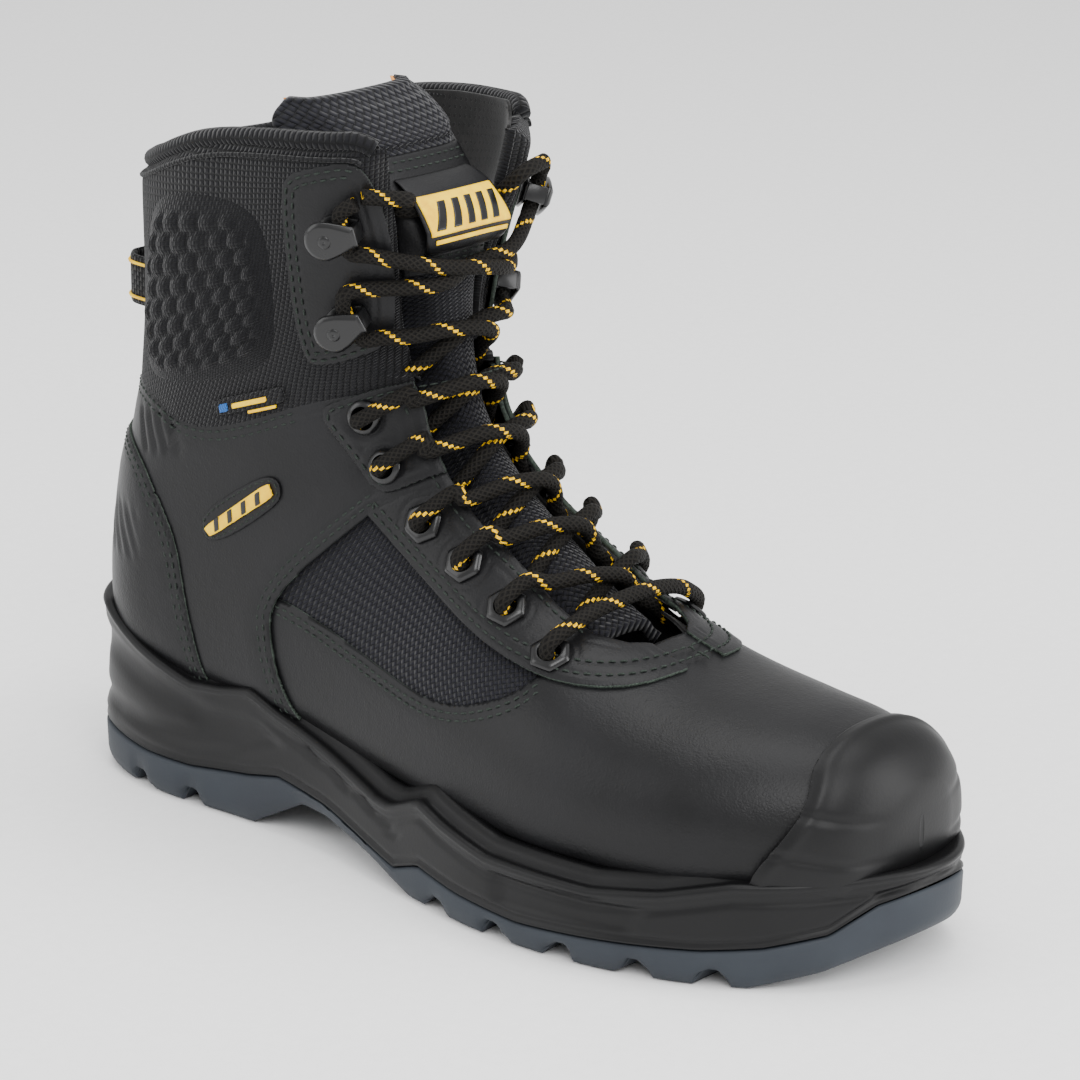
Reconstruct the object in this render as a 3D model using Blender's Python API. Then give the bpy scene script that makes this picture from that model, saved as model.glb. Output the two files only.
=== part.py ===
"""Steel toe work boot, right foot: an injected two-part sole, a leather and textile upper, and its lacing.

Sizes are in millimetres and become metres when a mesh is made. +X points to the toe, +Y to the inner
(medial) side and +Z up. The upper is drawn as a fan of sections round the foot and the ankle, and each
layer of the upper is that one surface moved in or out along its normals.
"""

import math

import bmesh
import bpy
import numpy as np
from mathutils import Matrix, Vector

MM = 0.001
GAP = 0.3

# The heel's back edge lies at x = 0 in the tables below; the finished boot is centred on its own box.
CENTRE_X = 159.0
CENTRE_Y = -2.25

# One row per section of the upper, from the toe round the heel to above the collar.
# front ridge x, z; rear ridge x, z; outer and inner half width; centre y;
# height of the widest line (0 rear, 1 front); roundness of the rear and of the front half
SECTIONS = np.array([
    (309.0, 47.0, 309.0, 38.0, 0.5, 0.5, 7.0, 0.50, 2.0, 2.0),
    (308.0, 57.0, 307.0, 27.0, 16.0, 16.0, 7.0, 0.50, 2.3, 2.1),
    (300.0, 67.0, 303.0, 21.0, 29.0, 29.0, 6.0, 0.46, 2.7, 2.2),
    (282.0, 72.0, 286.0, 18.0, 41.5, 40.5, 4.0, 0.44, 3.0, 2.2),
    (262.0, 74.5, 264.0, 17.0, 49.0, 46.5, 2.0, 0.42, 3.2, 2.2),
    (242.0, 77.5, 238.0, 16.5, 53.0, 49.5, 1.0, 0.39, 3.2, 2.2),
    (221.0, 83.5, 208.0, 17.0, 54.0, 48.5, 0.0, 0.37, 3.2, 2.2),
    (202.0, 92.0, 176.0, 19.0, 51.5, 44.5, 0.0, 0.35, 3.2, 2.15),
    (186.0, 104.5, 142.0, 23.0, 47.0, 40.5, 0.0, 0.31, 3.1, 2.1),
    (172.0, 116.0, 102.0, 28.0, 41.5, 38.5, 0.0, 0.27, 3.1, 2.1),
    (160.0, 128.0, 62.0, 31.0, 38.5, 38.0, 0.0, 0.22, 2.9, 2.15),
    (152.5, 140.0, 23.0, 34.0, 37.5, 37.0, 0.0, 0.21, 2.5, 2.2),
    (148.5, 151.0, 10.0, 45.0, 37.0, 36.5, 0.0, 0.22, 2.2, 2.3),
    (146.5, 161.0, 6.5, 66.0, 37.0, 36.5, 0.0, 0.26, 2.1, 2.35),
    (145.5, 171.0, 8.0, 92.0, 37.0, 37.0, 0.0, 0.32, 2.05, 2.4),
    (145.0, 182.0, 15.0, 122.0, 38.5, 39.0, 0.0, 0.38, 2.05, 2.5),
    (145.0, 193.0, 19.0, 152.0, 41.0, 42.0, 1.0, 0.42, 2.1, 2.6),
    (145.5, 205.0, 19.0, 182.0, 43.5, 46.0, 2.0, 0.44, 2.1, 2.8),
    (147.0, 220.0, 18.0, 212.0, 45.0, 49.0, 2.5, 0.45, 2.1, 2.9),
    (148.0, 238.0, 19.0, 240.0, 45.5, 50.0, 3.0, 0.45, 2.1, 2.9),
])
TOP = len(SECTIONS) - 1
SECTION_LINES = np.concatenate([(0.3, 0.9, 1.6, 2.3, 3.1), np.arange(4.0, TOP + 0.1, 0.75)])
ROUND_LINES = np.radians(np.arange(0.0, 360.0, 15.0))

# Faces of each layer, measured outwards from the fan surface.
LINING = (-6.4, -5.2)
LINING_IN_SHAFT = (-9.2, -8.0)
TOE_CAP = (-4.9, -3.0)
COUNTER = (-3.6, -1.4)
TEXTILE = (-4.2, -3.0)
COLLAR = (-7.4, -1.3)
UNDERLAY = (-2.7, -1.3)
OVERLAY = (-1.0, 0.4)
TOP_LAYER = (0.7, 2.1)
BUMPER = (-1.0, 2.4)
PLATE = (-3.6, -3.0)
BOARD = (-5.0, -3.8)
FOOTBED_THICK = 3.8

# The sole in plan: heel back, outer side, toe, inner side.
OUTER_EDGE = [(0, 0), (4, -19), (17, -34), (45, -42), (85, -41.5), (120, -44), (160, -53), (198, -60),
              (235, -59), (268, -49.5), (296, -32), (313, -9), (318, 9)]
INNER_EDGE = [(0, 0), (4, 19), (17, 34), (45, 42), (80, 41), (115, 41), (150, 45), (190, 53),
              (230, 56), (268, 52), (296, 42), (313, 26), (318, 9)]
EDGE_STEPS = 34
GROUND_LINE = [(0, 3), (9, 0), (87, 0), (110, 12), (121, 11.5), (146, 6), (165, 0), (284, 0), (300, 5), (318, 15)]
OUTSOLE_TOP = [(0, 16), (40, 13), (62, 13), (87, 16), (101, 19), (125, 16), (160, 8), (172, 12.5),
               (190, 10), (216, 8), (274, 11), (289, 13), (303, 17), (311, 25), (318, 28)]
MIDSOLE_TOP = [(0, 58), (16, 56), (38, 48), (62, 41), (75, 42), (88, 44.5), (100, 40), (151, 27.5), (158, 27.5),
               (172, 33.5), (183, 30), (203, 25.5), (241, 24.5), (262, 27), (282, 32), (318, 34)]
FOOTBED_LINE = [(30, 42.5), (45, 40.5), (62, 38.8), (102, 36.5), (142, 31.9), (176, 28.2), (208, 26.4), (238, 25.8),
                (264, 26.2), (291, 29.0)]

# Panel outlines seen from the outer side, as x and z.
HEEL_PATCH = [(-10, 112), (20, 115), (38, 110), (48, 96), (54, 85), (58, 67), (63, 53), (68, 39), (-10, 39)]
QUARTER = [(-10, 131), (30, 133), (46, 130), (57, 125), (69, 125), (85, 130), (101, 137), (122, 143), (145, 147),
           (158, 124), (129, 109), (128, 106), (94, 75), (96, 60), (104, 44), (108, 38), (-10, 38)]
VAMP = [(330, 27), (330, 95), (232, 95), (229, 81), (200, 81), (175, 61), (150, 63.5), (98, 75.5), (90, 70),
        (92, 58), (99, 44), (102, 37.5), (125, 32), (150, 26.5), (176, 23.5), (208, 21.5), (238, 21),
        (264, 21.5), (286, 23), (303, 27)]
TEXTILE_WINDOW = [(88, 72), (128, 113), (133, 109), (162, 94), (203, 80), (197, 68), (174, 53), (140, 58), (100, 68)]
EYESTAY = [(129.5, 106), (132, 109), (160, 124), (185, 125), (230, 100), (240, 95), (241.5, 79), (229, 74.5),
           (197, 76), (160, 90)]
UPPER_EYELET_PANEL = [(108.5, 137), (133, 147.5), (160, 150), (165, 124), (150, 122.5), (131.5, 112.5)]
COLLAR_SIDE = [(-10, 196), (20, 199), (35, 203), (57, 212), (75, 218), (98, 221), (120, 222), (131, 223), (137, 218),
               (150, 214), (150, 158), (134, 152), (118, 143), (101, 131), (85, 124), (69, 119), (57, 119),
               (46, 124), (30, 126), (-10, 124)]
HOOK_PANEL = [(105, 206.5), (108, 210), (117, 213), (129, 216), (132.5, 211), (134, 190), (132.5, 166),
              (130, 160), (108, 151), (104, 155)]
ANKLE_PAD = [(36, 150), (40, 176), (46, 191), (60, 198.5), (86, 201), (96, 195), (100, 184), (98, 157), (92, 146),
             (68, 139.5), (46, 136), (38, 140)]
SIDE_BADGE = [(65.5, 92), (68.5, 87.5), (78, 91.5), (96, 104.5), (97.5, 110), (94, 114), (85, 110), (67, 97.5)]
SIDE_TAG = [(73.5, 129.3), (99.5, 138), (98.3, 142.8), (72.2, 134.2)]
STEEL_CAP_SIDE = [(255, 25.5), (330, 25.5), (330, 90), (262, 90)]
CAP_STRIP_SIDE = [(246, 25.5), (254.6, 25.5), (261.6, 90), (253, 90)]
COUNTER_SIDE = [(-10, 42), (78, 42), (66, 60), (46, 84), (30, 92), (-10, 92)]
BUMPER_SIDE = [(281, 20), (284, 34), (292, 46), (295.5, 56), (291, 66), (290, 90), (335, 90), (335, 20)]

# Half width of the lacing gap, by section.
THROAT = [(5.9, 8), (6.1, 14), (6.5, 19), (7.2, 20), (9.0, 19.5), (10.5, 17.5), (11.5, 17), (12.6, 18.5), (13.7, 20),
          (16.3, 24), (17.5, 27.5), (19.0, 31)]
LINING_THROAT = [(5.2, 10), (5.6, 24), (6.1, 34), (6.7, 36), (7.7, 33.5), (8.7, 31), (9.7, 29.5), (11.0, 28),
                 (12.6, 28.5), (13.3, 21), (16.3, 25), (19.0, 32)]
TUCK_THROAT = [(6.0, 33), (6.7, 34), (7.7, 31.5), (8.7, 29), (9.7, 27.5), (11.0, 26)]
TONGUE_HALF_WIDTH = [(6.6, 23), (7.2, 26), (9.0, 26), (11.0, 24.5), (13.0, 23.5), (15.0, 25), (16.5, 28), (17.8, 30.5),
                     (18.6, 29)]
TONGUE_FOLD = [(6.0, 0, 0), (15.4, 0, 0), (16.2, -3, 0), (17.0, -10, 0), (17.8, -22, -1.5), (18.6, -40, -5)]
TONGUE_CENTRE = -6.8
TONGUE_EDGE = -10.3
TONGUE_THICK = 3.6
TONGUE_PIVOT = (212.0, 0.0, 86.0)
FOOTBED_PIVOT = (289.0, 0.0, 33.0)

# Fastenings, from the toe up: section and distance from the centre line.
EYELETS = [(6.7, 32.5), (7.7, 30.0), (8.7, 27.5), (9.65, 26.0), (10.9, 24.5), (12.25, 25.5)]
HEX_EYELETS = 4
HOOKS = [(14.7, 29.5), (16.65, 34.0)]
EYELET_HOLE = 3.3
EYELET_BARREL = 3.9
LEATHER_HOLE = 4.2
ROUND_FLANGE = 5.4
HEX_FLANGE = 6.6

LACE = 4.8
LACE_INSIDE = -4.6
LACE_OVER = 4.5
LACE_BEHIND_LABEL = 5.25
PATCH = (0.9, 2.1)
LABEL_SECTIONS = (15.45, 17.2)
LABEL_HALF_WIDTH = 18.8
LABEL_ARCH = 7.8
AGLET_LENGTH = 14.0
LOOP_BAND = [(34, -10.5), (16, -10), (6, -8.5), (1.5, -4), (1, 0), (1.5, 4), (6, 8.5), (16, 10), (34, 10.5)]
LOOP_HEIGHTS = (148.0, 164.0)


def clear_scene():
    for obj in list(bpy.data.objects):
        bpy.data.objects.remove(obj, do_unlink=True)


def material(name, colour, roughness, metallic=0.0):
    made = bpy.data.materials.new(name)
    made.use_nodes = True
    shader = made.node_tree.nodes["Principled BSDF"]
    shader.inputs["Base Color"].default_value = (*colour, 1.0)
    shader.inputs["Roughness"].default_value = roughness
    shader.inputs["Metallic"].default_value = metallic
    return made


def add_object(name, mesh, look=None):
    obj = bpy.data.objects.new(name, mesh)
    bpy.context.scene.collection.objects.link(obj)
    if look:
        mesh.materials.clear()
        mesh.materials.append(look)
    return obj


def solid(name, points, faces, look=None):
    """A closed mesh from points in millimetres, its faces split into triangles and turned outwards."""
    mesh = bpy.data.meshes.new(name)
    shift = np.array([CENTRE_X, CENTRE_Y, 0.0])
    mesh.from_pydata([tuple(p) for p in (np.asarray(points, float) - shift) * MM], [], faces)
    work = bmesh.new()
    work.from_mesh(mesh)
    bmesh.ops.triangulate(work, faces=work.faces, quad_method="FIXED")
    bmesh.ops.recalc_face_normals(work, faces=work.faces)
    if work.calc_volume(signed=True) < 0:
        bmesh.ops.reverse_faces(work, faces=work.faces)
    work.to_mesh(mesh)
    work.free()
    return add_object(name, mesh, look)


def cutter(name, points, faces):
    obj = solid(name, points, faces)
    obj.hide_render = True
    obj.display_type = "WIRE"
    return obj


def combine(obj, others, operation):
    """Applies one exact Boolean per helper and removes the helper."""
    for other in others:
        step = obj.modifiers.new(operation.lower(), "BOOLEAN")
        step.operation = operation
        step.solver = "EXACT"
        step.object = other
        bpy.context.view_layer.update()
        result = bpy.data.meshes.new_from_object(obj.evaluated_get(bpy.context.evaluated_depsgraph_get()))
        obj.modifiers.clear()
        look = [slot for slot in obj.data.materials][:1]
        obj.data = result
        result.materials.clear()
        for each in look:
            result.materials.append(each)
        bpy.data.objects.remove(other, do_unlink=True)
    return obj


def keep_largest_body(obj):
    """Drops the loose scraps that a cut leaves beyond its panel."""
    work = bmesh.new()
    work.from_mesh(obj.data)
    bmesh.ops.remove_doubles(work, verts=work.verts, dist=1e-7)
    left = set(work.faces)
    bodies = []
    while left:
        stack = [left.pop()]
        body = list(stack)
        while stack:
            face = stack.pop()
            for edge in face.edges:
                for near in edge.link_faces:
                    if near in left:
                        left.discard(near)
                        stack.append(near)
                        body.append(near)
        bodies.append(body)
    bodies.sort(key=lambda body: sum(face.calc_area() for face in body))
    for body in bodies[:-1]:
        bmesh.ops.delete(work, geom=body, context="FACES")
    work.to_mesh(obj.data)
    work.free()
    return obj


def through(table, x):
    """Straight-line reading of a table of (position, value)."""
    rows = np.asarray(table, float)
    return np.interp(x, rows[:, 0], rows[:, 1])


def smooth_rows(rows, u):
    """Catmull-Rom reading of a table at the fractional row u."""
    rows = np.asarray(rows, float)
    last = len(rows) - 1
    u = np.clip(np.asarray(u, float), 0, last - 1e-9)
    i = u.astype(int)
    f = (u - i)[..., None]
    a, b, c, d = (rows[np.clip(i + k, 0, last)] for k in (-1, 0, 1, 2))
    return 0.5 * (2 * b + (c - a) * f + (2 * a - 5 * b + 4 * c - d) * f**2 + (3 * b - a - 3 * c + d) * f**3)


def section_at(u):
    return np.moveaxis(smooth_rows(SECTIONS, u), -1, 0)


def fan_point(u, angle):
    """The upper's surface: angle 0 is the rear ridge, half a turn the front ridge, by the outer side first."""
    front_x, front_z, rear_x, rear_z, outer, inner, centre, widest, rear_round, front_round = section_at(u)
    rear_half = np.cos(angle) > 0
    power = 2.0 / np.where(rear_half, rear_round, front_round)
    along = np.abs(np.cos(angle)) ** power
    across = np.abs(np.sin(angle)) ** power
    t = np.where(rear_half, widest * (1 - along), widest + (1 - widest) * along)
    y = centre + np.where(np.sin(angle) >= 0, -outer, inner) * across
    return np.stack([rear_x + (front_x - rear_x) * t, y, rear_z + (front_z - rear_z) * t], -1)


def front_angle(u, y):
    """The angle at which section u has this y, on its front half."""
    _, _, _, _, outer, inner, centre, _, _, front_round = section_at(u)
    width = np.where(y < centre, outer, inner)
    ratio = np.clip(np.abs(y - centre) / width, 0, 0.999) ** (front_round / 2.0)
    turn = np.arcsin(ratio)
    return np.where(y < centre, math.pi - turn, math.pi + turn)


def front_point(u, y, offset=0.0):
    """A point beside the front ridge, moved outwards along the surface's normal."""
    step_u, step_y = 0.05, 0.5
    p = fan_point(u, front_angle(u, y))
    along = fan_point(u + step_u, front_angle(u + step_u, y)) - fan_point(u - step_u, front_angle(u - step_u, y))
    across = fan_point(u, front_angle(u, y + step_y)) - fan_point(u, front_angle(u, y - step_y))
    normal = np.cross(across, along)
    return p + normal / np.linalg.norm(normal) * offset


def local_frame(u, y, offset=0.0):
    """Centre and axes at a point beside the front ridge: away from the ridge, up the ridge, outwards."""
    centre = front_point(u, y, offset)
    outwards = front_point(u, y, offset + 1) - centre
    away = front_point(u, y + math.copysign(1.0, y), offset) - centre
    away -= outwards * np.dot(away, outwards)
    away /= np.linalg.norm(away)
    up = np.cross(outwards, away)
    if up[2] < 0:
        up = -up
    return centre, away, up, outwards


def fan_grid():
    """Points and unit normals of the shared grid, and the toe's pole."""
    u, angle = np.meshgrid(SECTION_LINES, ROUND_LINES, indexing="ij")
    points = fan_point(u, angle)
    step = 0.02
    along = fan_point(u + step, angle) - fan_point(u - step, angle)
    across = fan_point(u, angle + step) - fan_point(u, angle - step)
    normals = np.cross(along, across)
    normals /= np.linalg.norm(normals, axis=-1)[..., None]
    away = points - points.mean(axis=1, keepdims=True)
    flip = np.sum(normals * away, axis=-1) < 0
    normals[flip] *= -1
    return points, normals


GRID_POINTS, GRID_NORMALS = fan_grid()
TOE_POLE = GRID_POINTS[0].mean(axis=0) + np.array([0.4, 0, 0])


def offset_layer(offset):
    """Grid points at an offset that may change with the section, then the pole."""
    if callable(offset):
        values = np.array([offset(u) for u in SECTION_LINES])
    else:
        values = np.full(len(SECTION_LINES), float(offset))
    moved = GRID_POINTS + GRID_NORMALS * values[:, None, None]
    return np.vstack([moved.reshape(-1, 3), TOE_POLE + np.array([values[0], 0, 0])])


def grid_faces(base, flip):
    rows, columns = len(SECTION_LINES), len(ROUND_LINES)
    pole = base + rows * columns
    faces = []
    for j in range(columns):
        k = (j + 1) % columns
        faces.append((pole, base + j, base + k))
        for i in range(rows - 1):
            a, b = base + i * columns + j, base + i * columns + k
            faces.append((a, a + columns, b + columns))
            faces.append((a, b + columns, b))
    return [face[::-1] for face in faces] if flip else faces


def sock_shell(name, inner, outer, look=None):
    """The whole upper as one skin between two offsets, open at the top."""
    count = len(SECTION_LINES) * len(ROUND_LINES) + 1
    points = np.vstack([offset_layer(outer), offset_layer(inner)])
    faces = grid_faces(0, False) + grid_faces(count, True)
    columns = len(ROUND_LINES)
    top = (len(SECTION_LINES) - 1) * columns
    for j in range(columns):
        k = (j + 1) % columns
        faces.append((top + j, count + top + j, count + top + k, top + k))
    return solid(name, points, faces, look)


def sock_solid(name, outer):
    columns = len(ROUND_LINES)
    top = (len(SECTION_LINES) - 1) * columns
    faces = grid_faces(0, False) + [tuple(top + j for j in range(columns))]
    return solid(name, offset_layer(outer), faces)


def prism(outline, low=-90.0, high=90.0):
    """A cutter: an outline of x and z, pushed through from y low to y high."""
    count = len(outline)
    points = [(x, y, z) for y in (low, high) for x, z in outline]
    faces = [tuple(range(count)), tuple(range(count, 2 * count))]
    faces += [(i, (i + 1) % count, count + (i + 1) % count, count + i) for i in range(count)]
    return cutter("prism", points, faces)


def throat_cutter(table, deep=18.0, high=26.0):
    """A cutter for the lacing gap: a bar that follows the front ridge and widens upwards."""
    points = []
    lines = np.array([row[0] for row in table])
    for u, half in table:
        ridge = front_point(u, 0.0)
        out = front_point(u, 0.0, 1.0) - ridge
        for side, reach in ((-1, high), (1, high), (1, -deep), (-1, -deep)):
            points.append(ridge * (1, 0, 1) + out * (1, 0, 1) * reach + np.array([0, side * half, 0]))
    faces = [(0, 1, 2, 3), tuple(4 * (len(lines) - 1) + k for k in (3, 2, 1, 0))]
    for i in range(len(lines) - 1):
        for k in range(4):
            m = (k + 1) % 4
            faces.append((4 * i + k, 4 * i + m, 4 * i + 4 + m, 4 * i + 4 + k))
    return cutter("throat", points, faces)


def disc(centre, axes, radius, low, high, sides=12, name="disc", look=None, turn=0.0):
    """A round or many-sided plug along the third axis."""
    ring = [2 * math.pi * k / sides + turn for k in range(sides)]
    points = [centre + axes[0] * radius * math.cos(a) + axes[1] * radius * math.sin(a) + axes[2] * level
              for level in (low, high) for a in ring]
    faces = [tuple(range(sides)), tuple(range(sides, 2 * sides))]
    faces += [(k, (k + 1) % sides, sides + (k + 1) % sides, sides + k) for k in range(sides)]
    if look:
        return solid(name, points, faces, look)
    return cutter(name, points, faces)


def lace_holes(rows, radius, side, low=-16.0, high=8.0):
    cutters = []
    for u, y in rows:
        centre, away, up, out = local_frame(u, side * y)
        cutters.append(disc(centre, (away, up, out), radius, low, high))
    return cutters


def panel(name, layer, outline, look, low=-90.0, high=90.0, throat=None, holes=()):
    """One piece of the upper: a layer cut to an outline, with the lacing gap and the lace holes."""
    obj = sock_shell(name, *layer, look)
    combine(obj, [prism(outline, low, high)], "INTERSECT")
    if throat:
        deep = 34.0 if throat is TUCK_THROAT else 18.0
        combine(obj, [throat_cutter(throat, deep)], "DIFFERENCE")
    combine(obj, holes, "DIFFERENCE")
    return keep_largest_body(obj)


def both_sides(name, layer, outline, look, throat=None, holes=None, seam=0.15):
    """The outer and the inner copy of a panel."""
    made = []
    for side, low, high in (("outer", -90.0, -seam), ("inner", seam, 90.0)):
        sign = -1 if side == "outer" else 1
        cuts = lace_holes(holes, LEATHER_HOLE, sign) if holes else ()
        made.append(panel(f"{name}_{side}", layer, outline, look, low, high, throat, cuts))
    return made


def edge_curve(points, steps):
    """A smooth line through the points, with more readings near both ends."""
    t = 0.5 - 0.5 * np.cos(np.linspace(0, math.pi, steps + 1))
    rows = np.asarray(points, float)
    first, last = rows[1] * (1, -1), rows[-2] * (1, 1)
    last = np.array([rows[-2][0], 2 * rows[-1][1] - rows[-2][1]])
    padded = np.vstack([first, rows, last])
    return smooth_rows(padded, 1 + t * (len(rows) - 1))


def plan_ring(inset=0.0):
    """The sole's outline as a closed ring: outer side heel to toe, then inner side toe to heel."""
    outer = edge_curve(OUTER_EDGE, EDGE_STEPS)
    inner = edge_curve(INNER_EDGE, EDGE_STEPS)
    ring = np.vstack([outer, inner[::-1][1:-1]])
    tangent = np.roll(ring, -1, 0) - np.roll(ring, 1, 0)
    inwards = np.stack([-tangent[:, 1], tangent[:, 0]], -1)
    inwards /= np.linalg.norm(inwards, axis=1)[:, None]
    return ring + inwards * inset


def loft(name, rings, look=None):
    """Closed rings of equal length, one above the other, with both ends zipped across the sole."""
    count = len(rings[0])
    faces = []
    for i in range(len(rings) - 1):
        for k in range(count):
            m = (k + 1) % count
            faces.append((count * i + k, count * i + m, count * (i + 1) + m, count * (i + 1) + k))
    for base in (0, count * (len(rings) - 1)):
        for k in range(count // 2):
            a, b = k, k + 1
            c, d = (count - k - 1) % count, (count - k) % count
            corners = [base + a, base + b, base + c, base + d]
            faces.append(tuple(dict.fromkeys(corners)))
    return solid(name, np.vstack(rings), faces, look)


def sole_ring(inset, height_table, rise=0.0):
    ring = plan_ring(inset)
    return np.column_stack([ring, through(height_table, ring[:, 0]) + rise])


def tread_groove(x, side, slant, width=5.0, depth=5.0, reach=24.0):
    """A wedge across the sole's edge between two lugs."""
    edge = through(OUTER_EDGE if side < 0 else INNER_EDGE, x)
    inner_y, outer_y = edge - side * reach, edge + side * 8
    points = []
    for y, shift in ((inner_y, 0.0), (outer_y, slant)):
        for dx, z in ((-width / 2, -1.0), (width / 2, -1.0), (width / 4, depth), (-width / 4, depth)):
            points.append((x + shift + dx, y, z))
    faces = [(0, 1, 2, 3), (4, 5, 6, 7)] + [(k, (k + 1) % 4, 4 + (k + 1) % 4, 4 + k) for k in range(4)]
    return cutter("groove", points, faces)


def build_outsole(look):
    obj = loft("outsole", [
        sole_ring(3.0, GROUND_LINE),
        sole_ring(0.6, GROUND_LINE, 4.0),
        sole_ring(0.3, OUTSOLE_TOP, -GAP / 2),
    ], look)
    grooves = []
    for x, slant in ((42, -5), (66, -5), (176, 4), (202, 4), (228, 2), (254, 0), (280, -3)):
        for side in (-1, 1):
            grooves.append(tread_groove(x, side, slant))
    return combine(obj, grooves, "DIFFERENCE")


def cavity_offset(u):
    """The room that the sole's inside keeps for the layers of the upper."""
    return through([(7.75, UNDERLAY[1] + GAP), (8.5, OVERLAY[1] + GAP), (9.25, TOP_LAYER[1] + GAP)], u)


def build_midsole(look):
    obj = loft("midsole", [
        sole_ring(0.3, OUTSOLE_TOP, GAP / 2),
        sole_ring(0.0, OUTSOLE_TOP, 4.0),
        sole_ring(0.7, MIDSOLE_TOP, -3.5),
        sole_ring(2.6, MIDSOLE_TOP, 0.3),
    ], look)
    bumper = sock_shell("bumper", *BUMPER)
    combine(bumper, [prism(BUMPER_SIDE)], "INTERSECT")
    combine(obj, [bumper], "UNION")
    combine(obj, [sock_solid("cavity", cavity_offset)], "DIFFERENCE")
    return keep_largest_body(obj)


def underfoot(name, layer, inset, back, front, look):
    """A board or a bed: a layer of the upper's bottom inside the sole's outline moved inwards."""
    ring = plan_ring(inset)
    lowest, highest = ring[:, 0].min(), ring[:, 0].max()
    ring[:, 0] = back + (ring[:, 0] - lowest) * (front - back) / (highest - lowest)
    obj = sock_shell(name, *layer, look)
    tool = loft("outline", [np.column_stack([ring, np.full(len(ring), z)]) for z in (10.0, 56.0)])
    combine(obj, [tool], "INTERSECT")
    return keep_largest_body(obj)


def lining_offset(side):
    return lambda u: through([(10.4, LINING[side]), (12.0, LINING_IN_SHAFT[side])], u)


def build_footbed(look):
    """A cupped bed: flat under the foot, its rim turned up and as thick at the rim as below."""
    rings = []
    for inset, rise in ((26, 0.5), (18, 4.2), (18, 4.2 + FOOTBED_THICK), (26, FOOTBED_THICK + 0.5)):
        ring = plan_ring(inset)
        lowest, highest = ring[:, 0].min(), ring[:, 0].max()
        back, front = (30, 289) if inset == 18 else (38, 281)
        ring[:, 0] = back + (ring[:, 0] - lowest) * (front - back) / (highest - lowest)
        rings.append(np.column_stack([ring, through(FOOTBED_LINE, ring[:, 0]) + rise]))
    return loft("footbed", rings, look)


def build_lining(look):
    obj = sock_shell("bootie_lining", lining_offset(0), lining_offset(1), look)
    rim = [(x, z - 2) for x, z in COLLAR_SIDE[:10]]
    outline = rim + [(340, 214), (340, 10), (-20, 10), (-20, rim[0][1])]
    combine(obj, [prism(outline)], "INTERSECT")
    combine(obj, [throat_cutter(LINING_THROAT, 34.0)], "DIFFERENCE")
    return keep_largest_body(obj)


def tongue_offset(u, y):
    """The tongue stands up in the lacing gap and drops behind the facings."""
    t = np.clip((abs(y) - (through(THROAT, u) - 9)) / 10, 0, 1)
    return TONGUE_CENTRE + (TONGUE_EDGE - TONGUE_CENTRE) * t * t * (3 - 2 * t)


def tongue_point(u, y, rise=0.0):
    rows = np.array(TONGUE_FOLD)
    fold = np.array([np.interp(u, rows[:, 0], rows[:, 1]), 0, np.interp(u, rows[:, 0], rows[:, 2])])
    return front_point(u, y, tongue_offset(u, y) + rise) + fold


def tongue_slab(name, u_lines, half_width, low, high, look, columns=8, crown=0.0):
    """A piece of the tongue between two heights over its face; half_width and high may vary with u."""
    points = []
    for level in (low, high):
        for u in u_lines:
            half = half_width(u)
            for k in range(columns + 1):
                y = half * (2 * k / columns - 1)
                rise = level(u, y) if callable(level) else level
                points.append(tongue_point(u, y, rise))
    wide, rows = columns + 1, len(u_lines)
    base = wide * rows
    faces = []
    for i in range(rows - 1):
        for k in range(columns):
            a = i * wide + k
            faces.append((a, a + 1, a + wide + 1, a + wide))
            faces.append((base + a, base + a + 1, base + a + wide + 1, base + a + wide))
        for a in (i * wide, i * wide + columns):
            faces.append((a, a + wide, base + a + wide, base + a))
    for k in range(columns):
        for a in (k, (rows - 1) * wide + k):
            faces.append((a, a + 1, base + a + 1, base + a))
    return solid(name, points, faces, look)


def build_tongue(looks):
    def full(u):
        return through(TONGUE_HALF_WIDTH, u)

    tongue_slab("tongue_body", np.linspace(6.6, 17.7, 19), full, -TONGUE_THICK, 0.0, looks["mesh"])
    tongue_slab("tongue_top_pad", (17.78, 17.9, 18.15, 18.4, 18.58, 18.66), full,
                lambda u, y: -TONGUE_THICK - 2.0 * math.sin(math.pi * (u - 17.7) / 1.0),
                lambda u, y: 2.6 * math.sin(math.pi * (u - 17.7) / 1.0), looks["mesh"])
    tongue_slab("tongue_lining", np.linspace(8.0, 17.6, 13), lambda u: full(u) - 1.5,
                -TONGUE_THICK - 2.1, -TONGUE_THICK - 0.9, looks["orange"])
    tongue_slab("tongue_patch", np.linspace(14.9, 17.6, 7), lambda u: min(22.5, through(THROAT, u) - 0.5),
                PATCH[0], PATCH[1], looks["leather"], columns=6)
    bottom, top = LABEL_SECTIONS
    lines = np.linspace(bottom, top, 9)

    def arch(u, y):
        return PATCH[1] + 2 * GAP + LABEL_ARCH * math.sin(math.pi * (u - bottom) / (top - bottom)) ** 0.5

    tongue_slab("tongue_label", lines, lambda u: min(LABEL_HALF_WIDTH, through(THROAT, u) - 0.8),
                arch, lambda u, y: arch(u, y) + 1.0, looks["leather"], columns=6)


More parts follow.
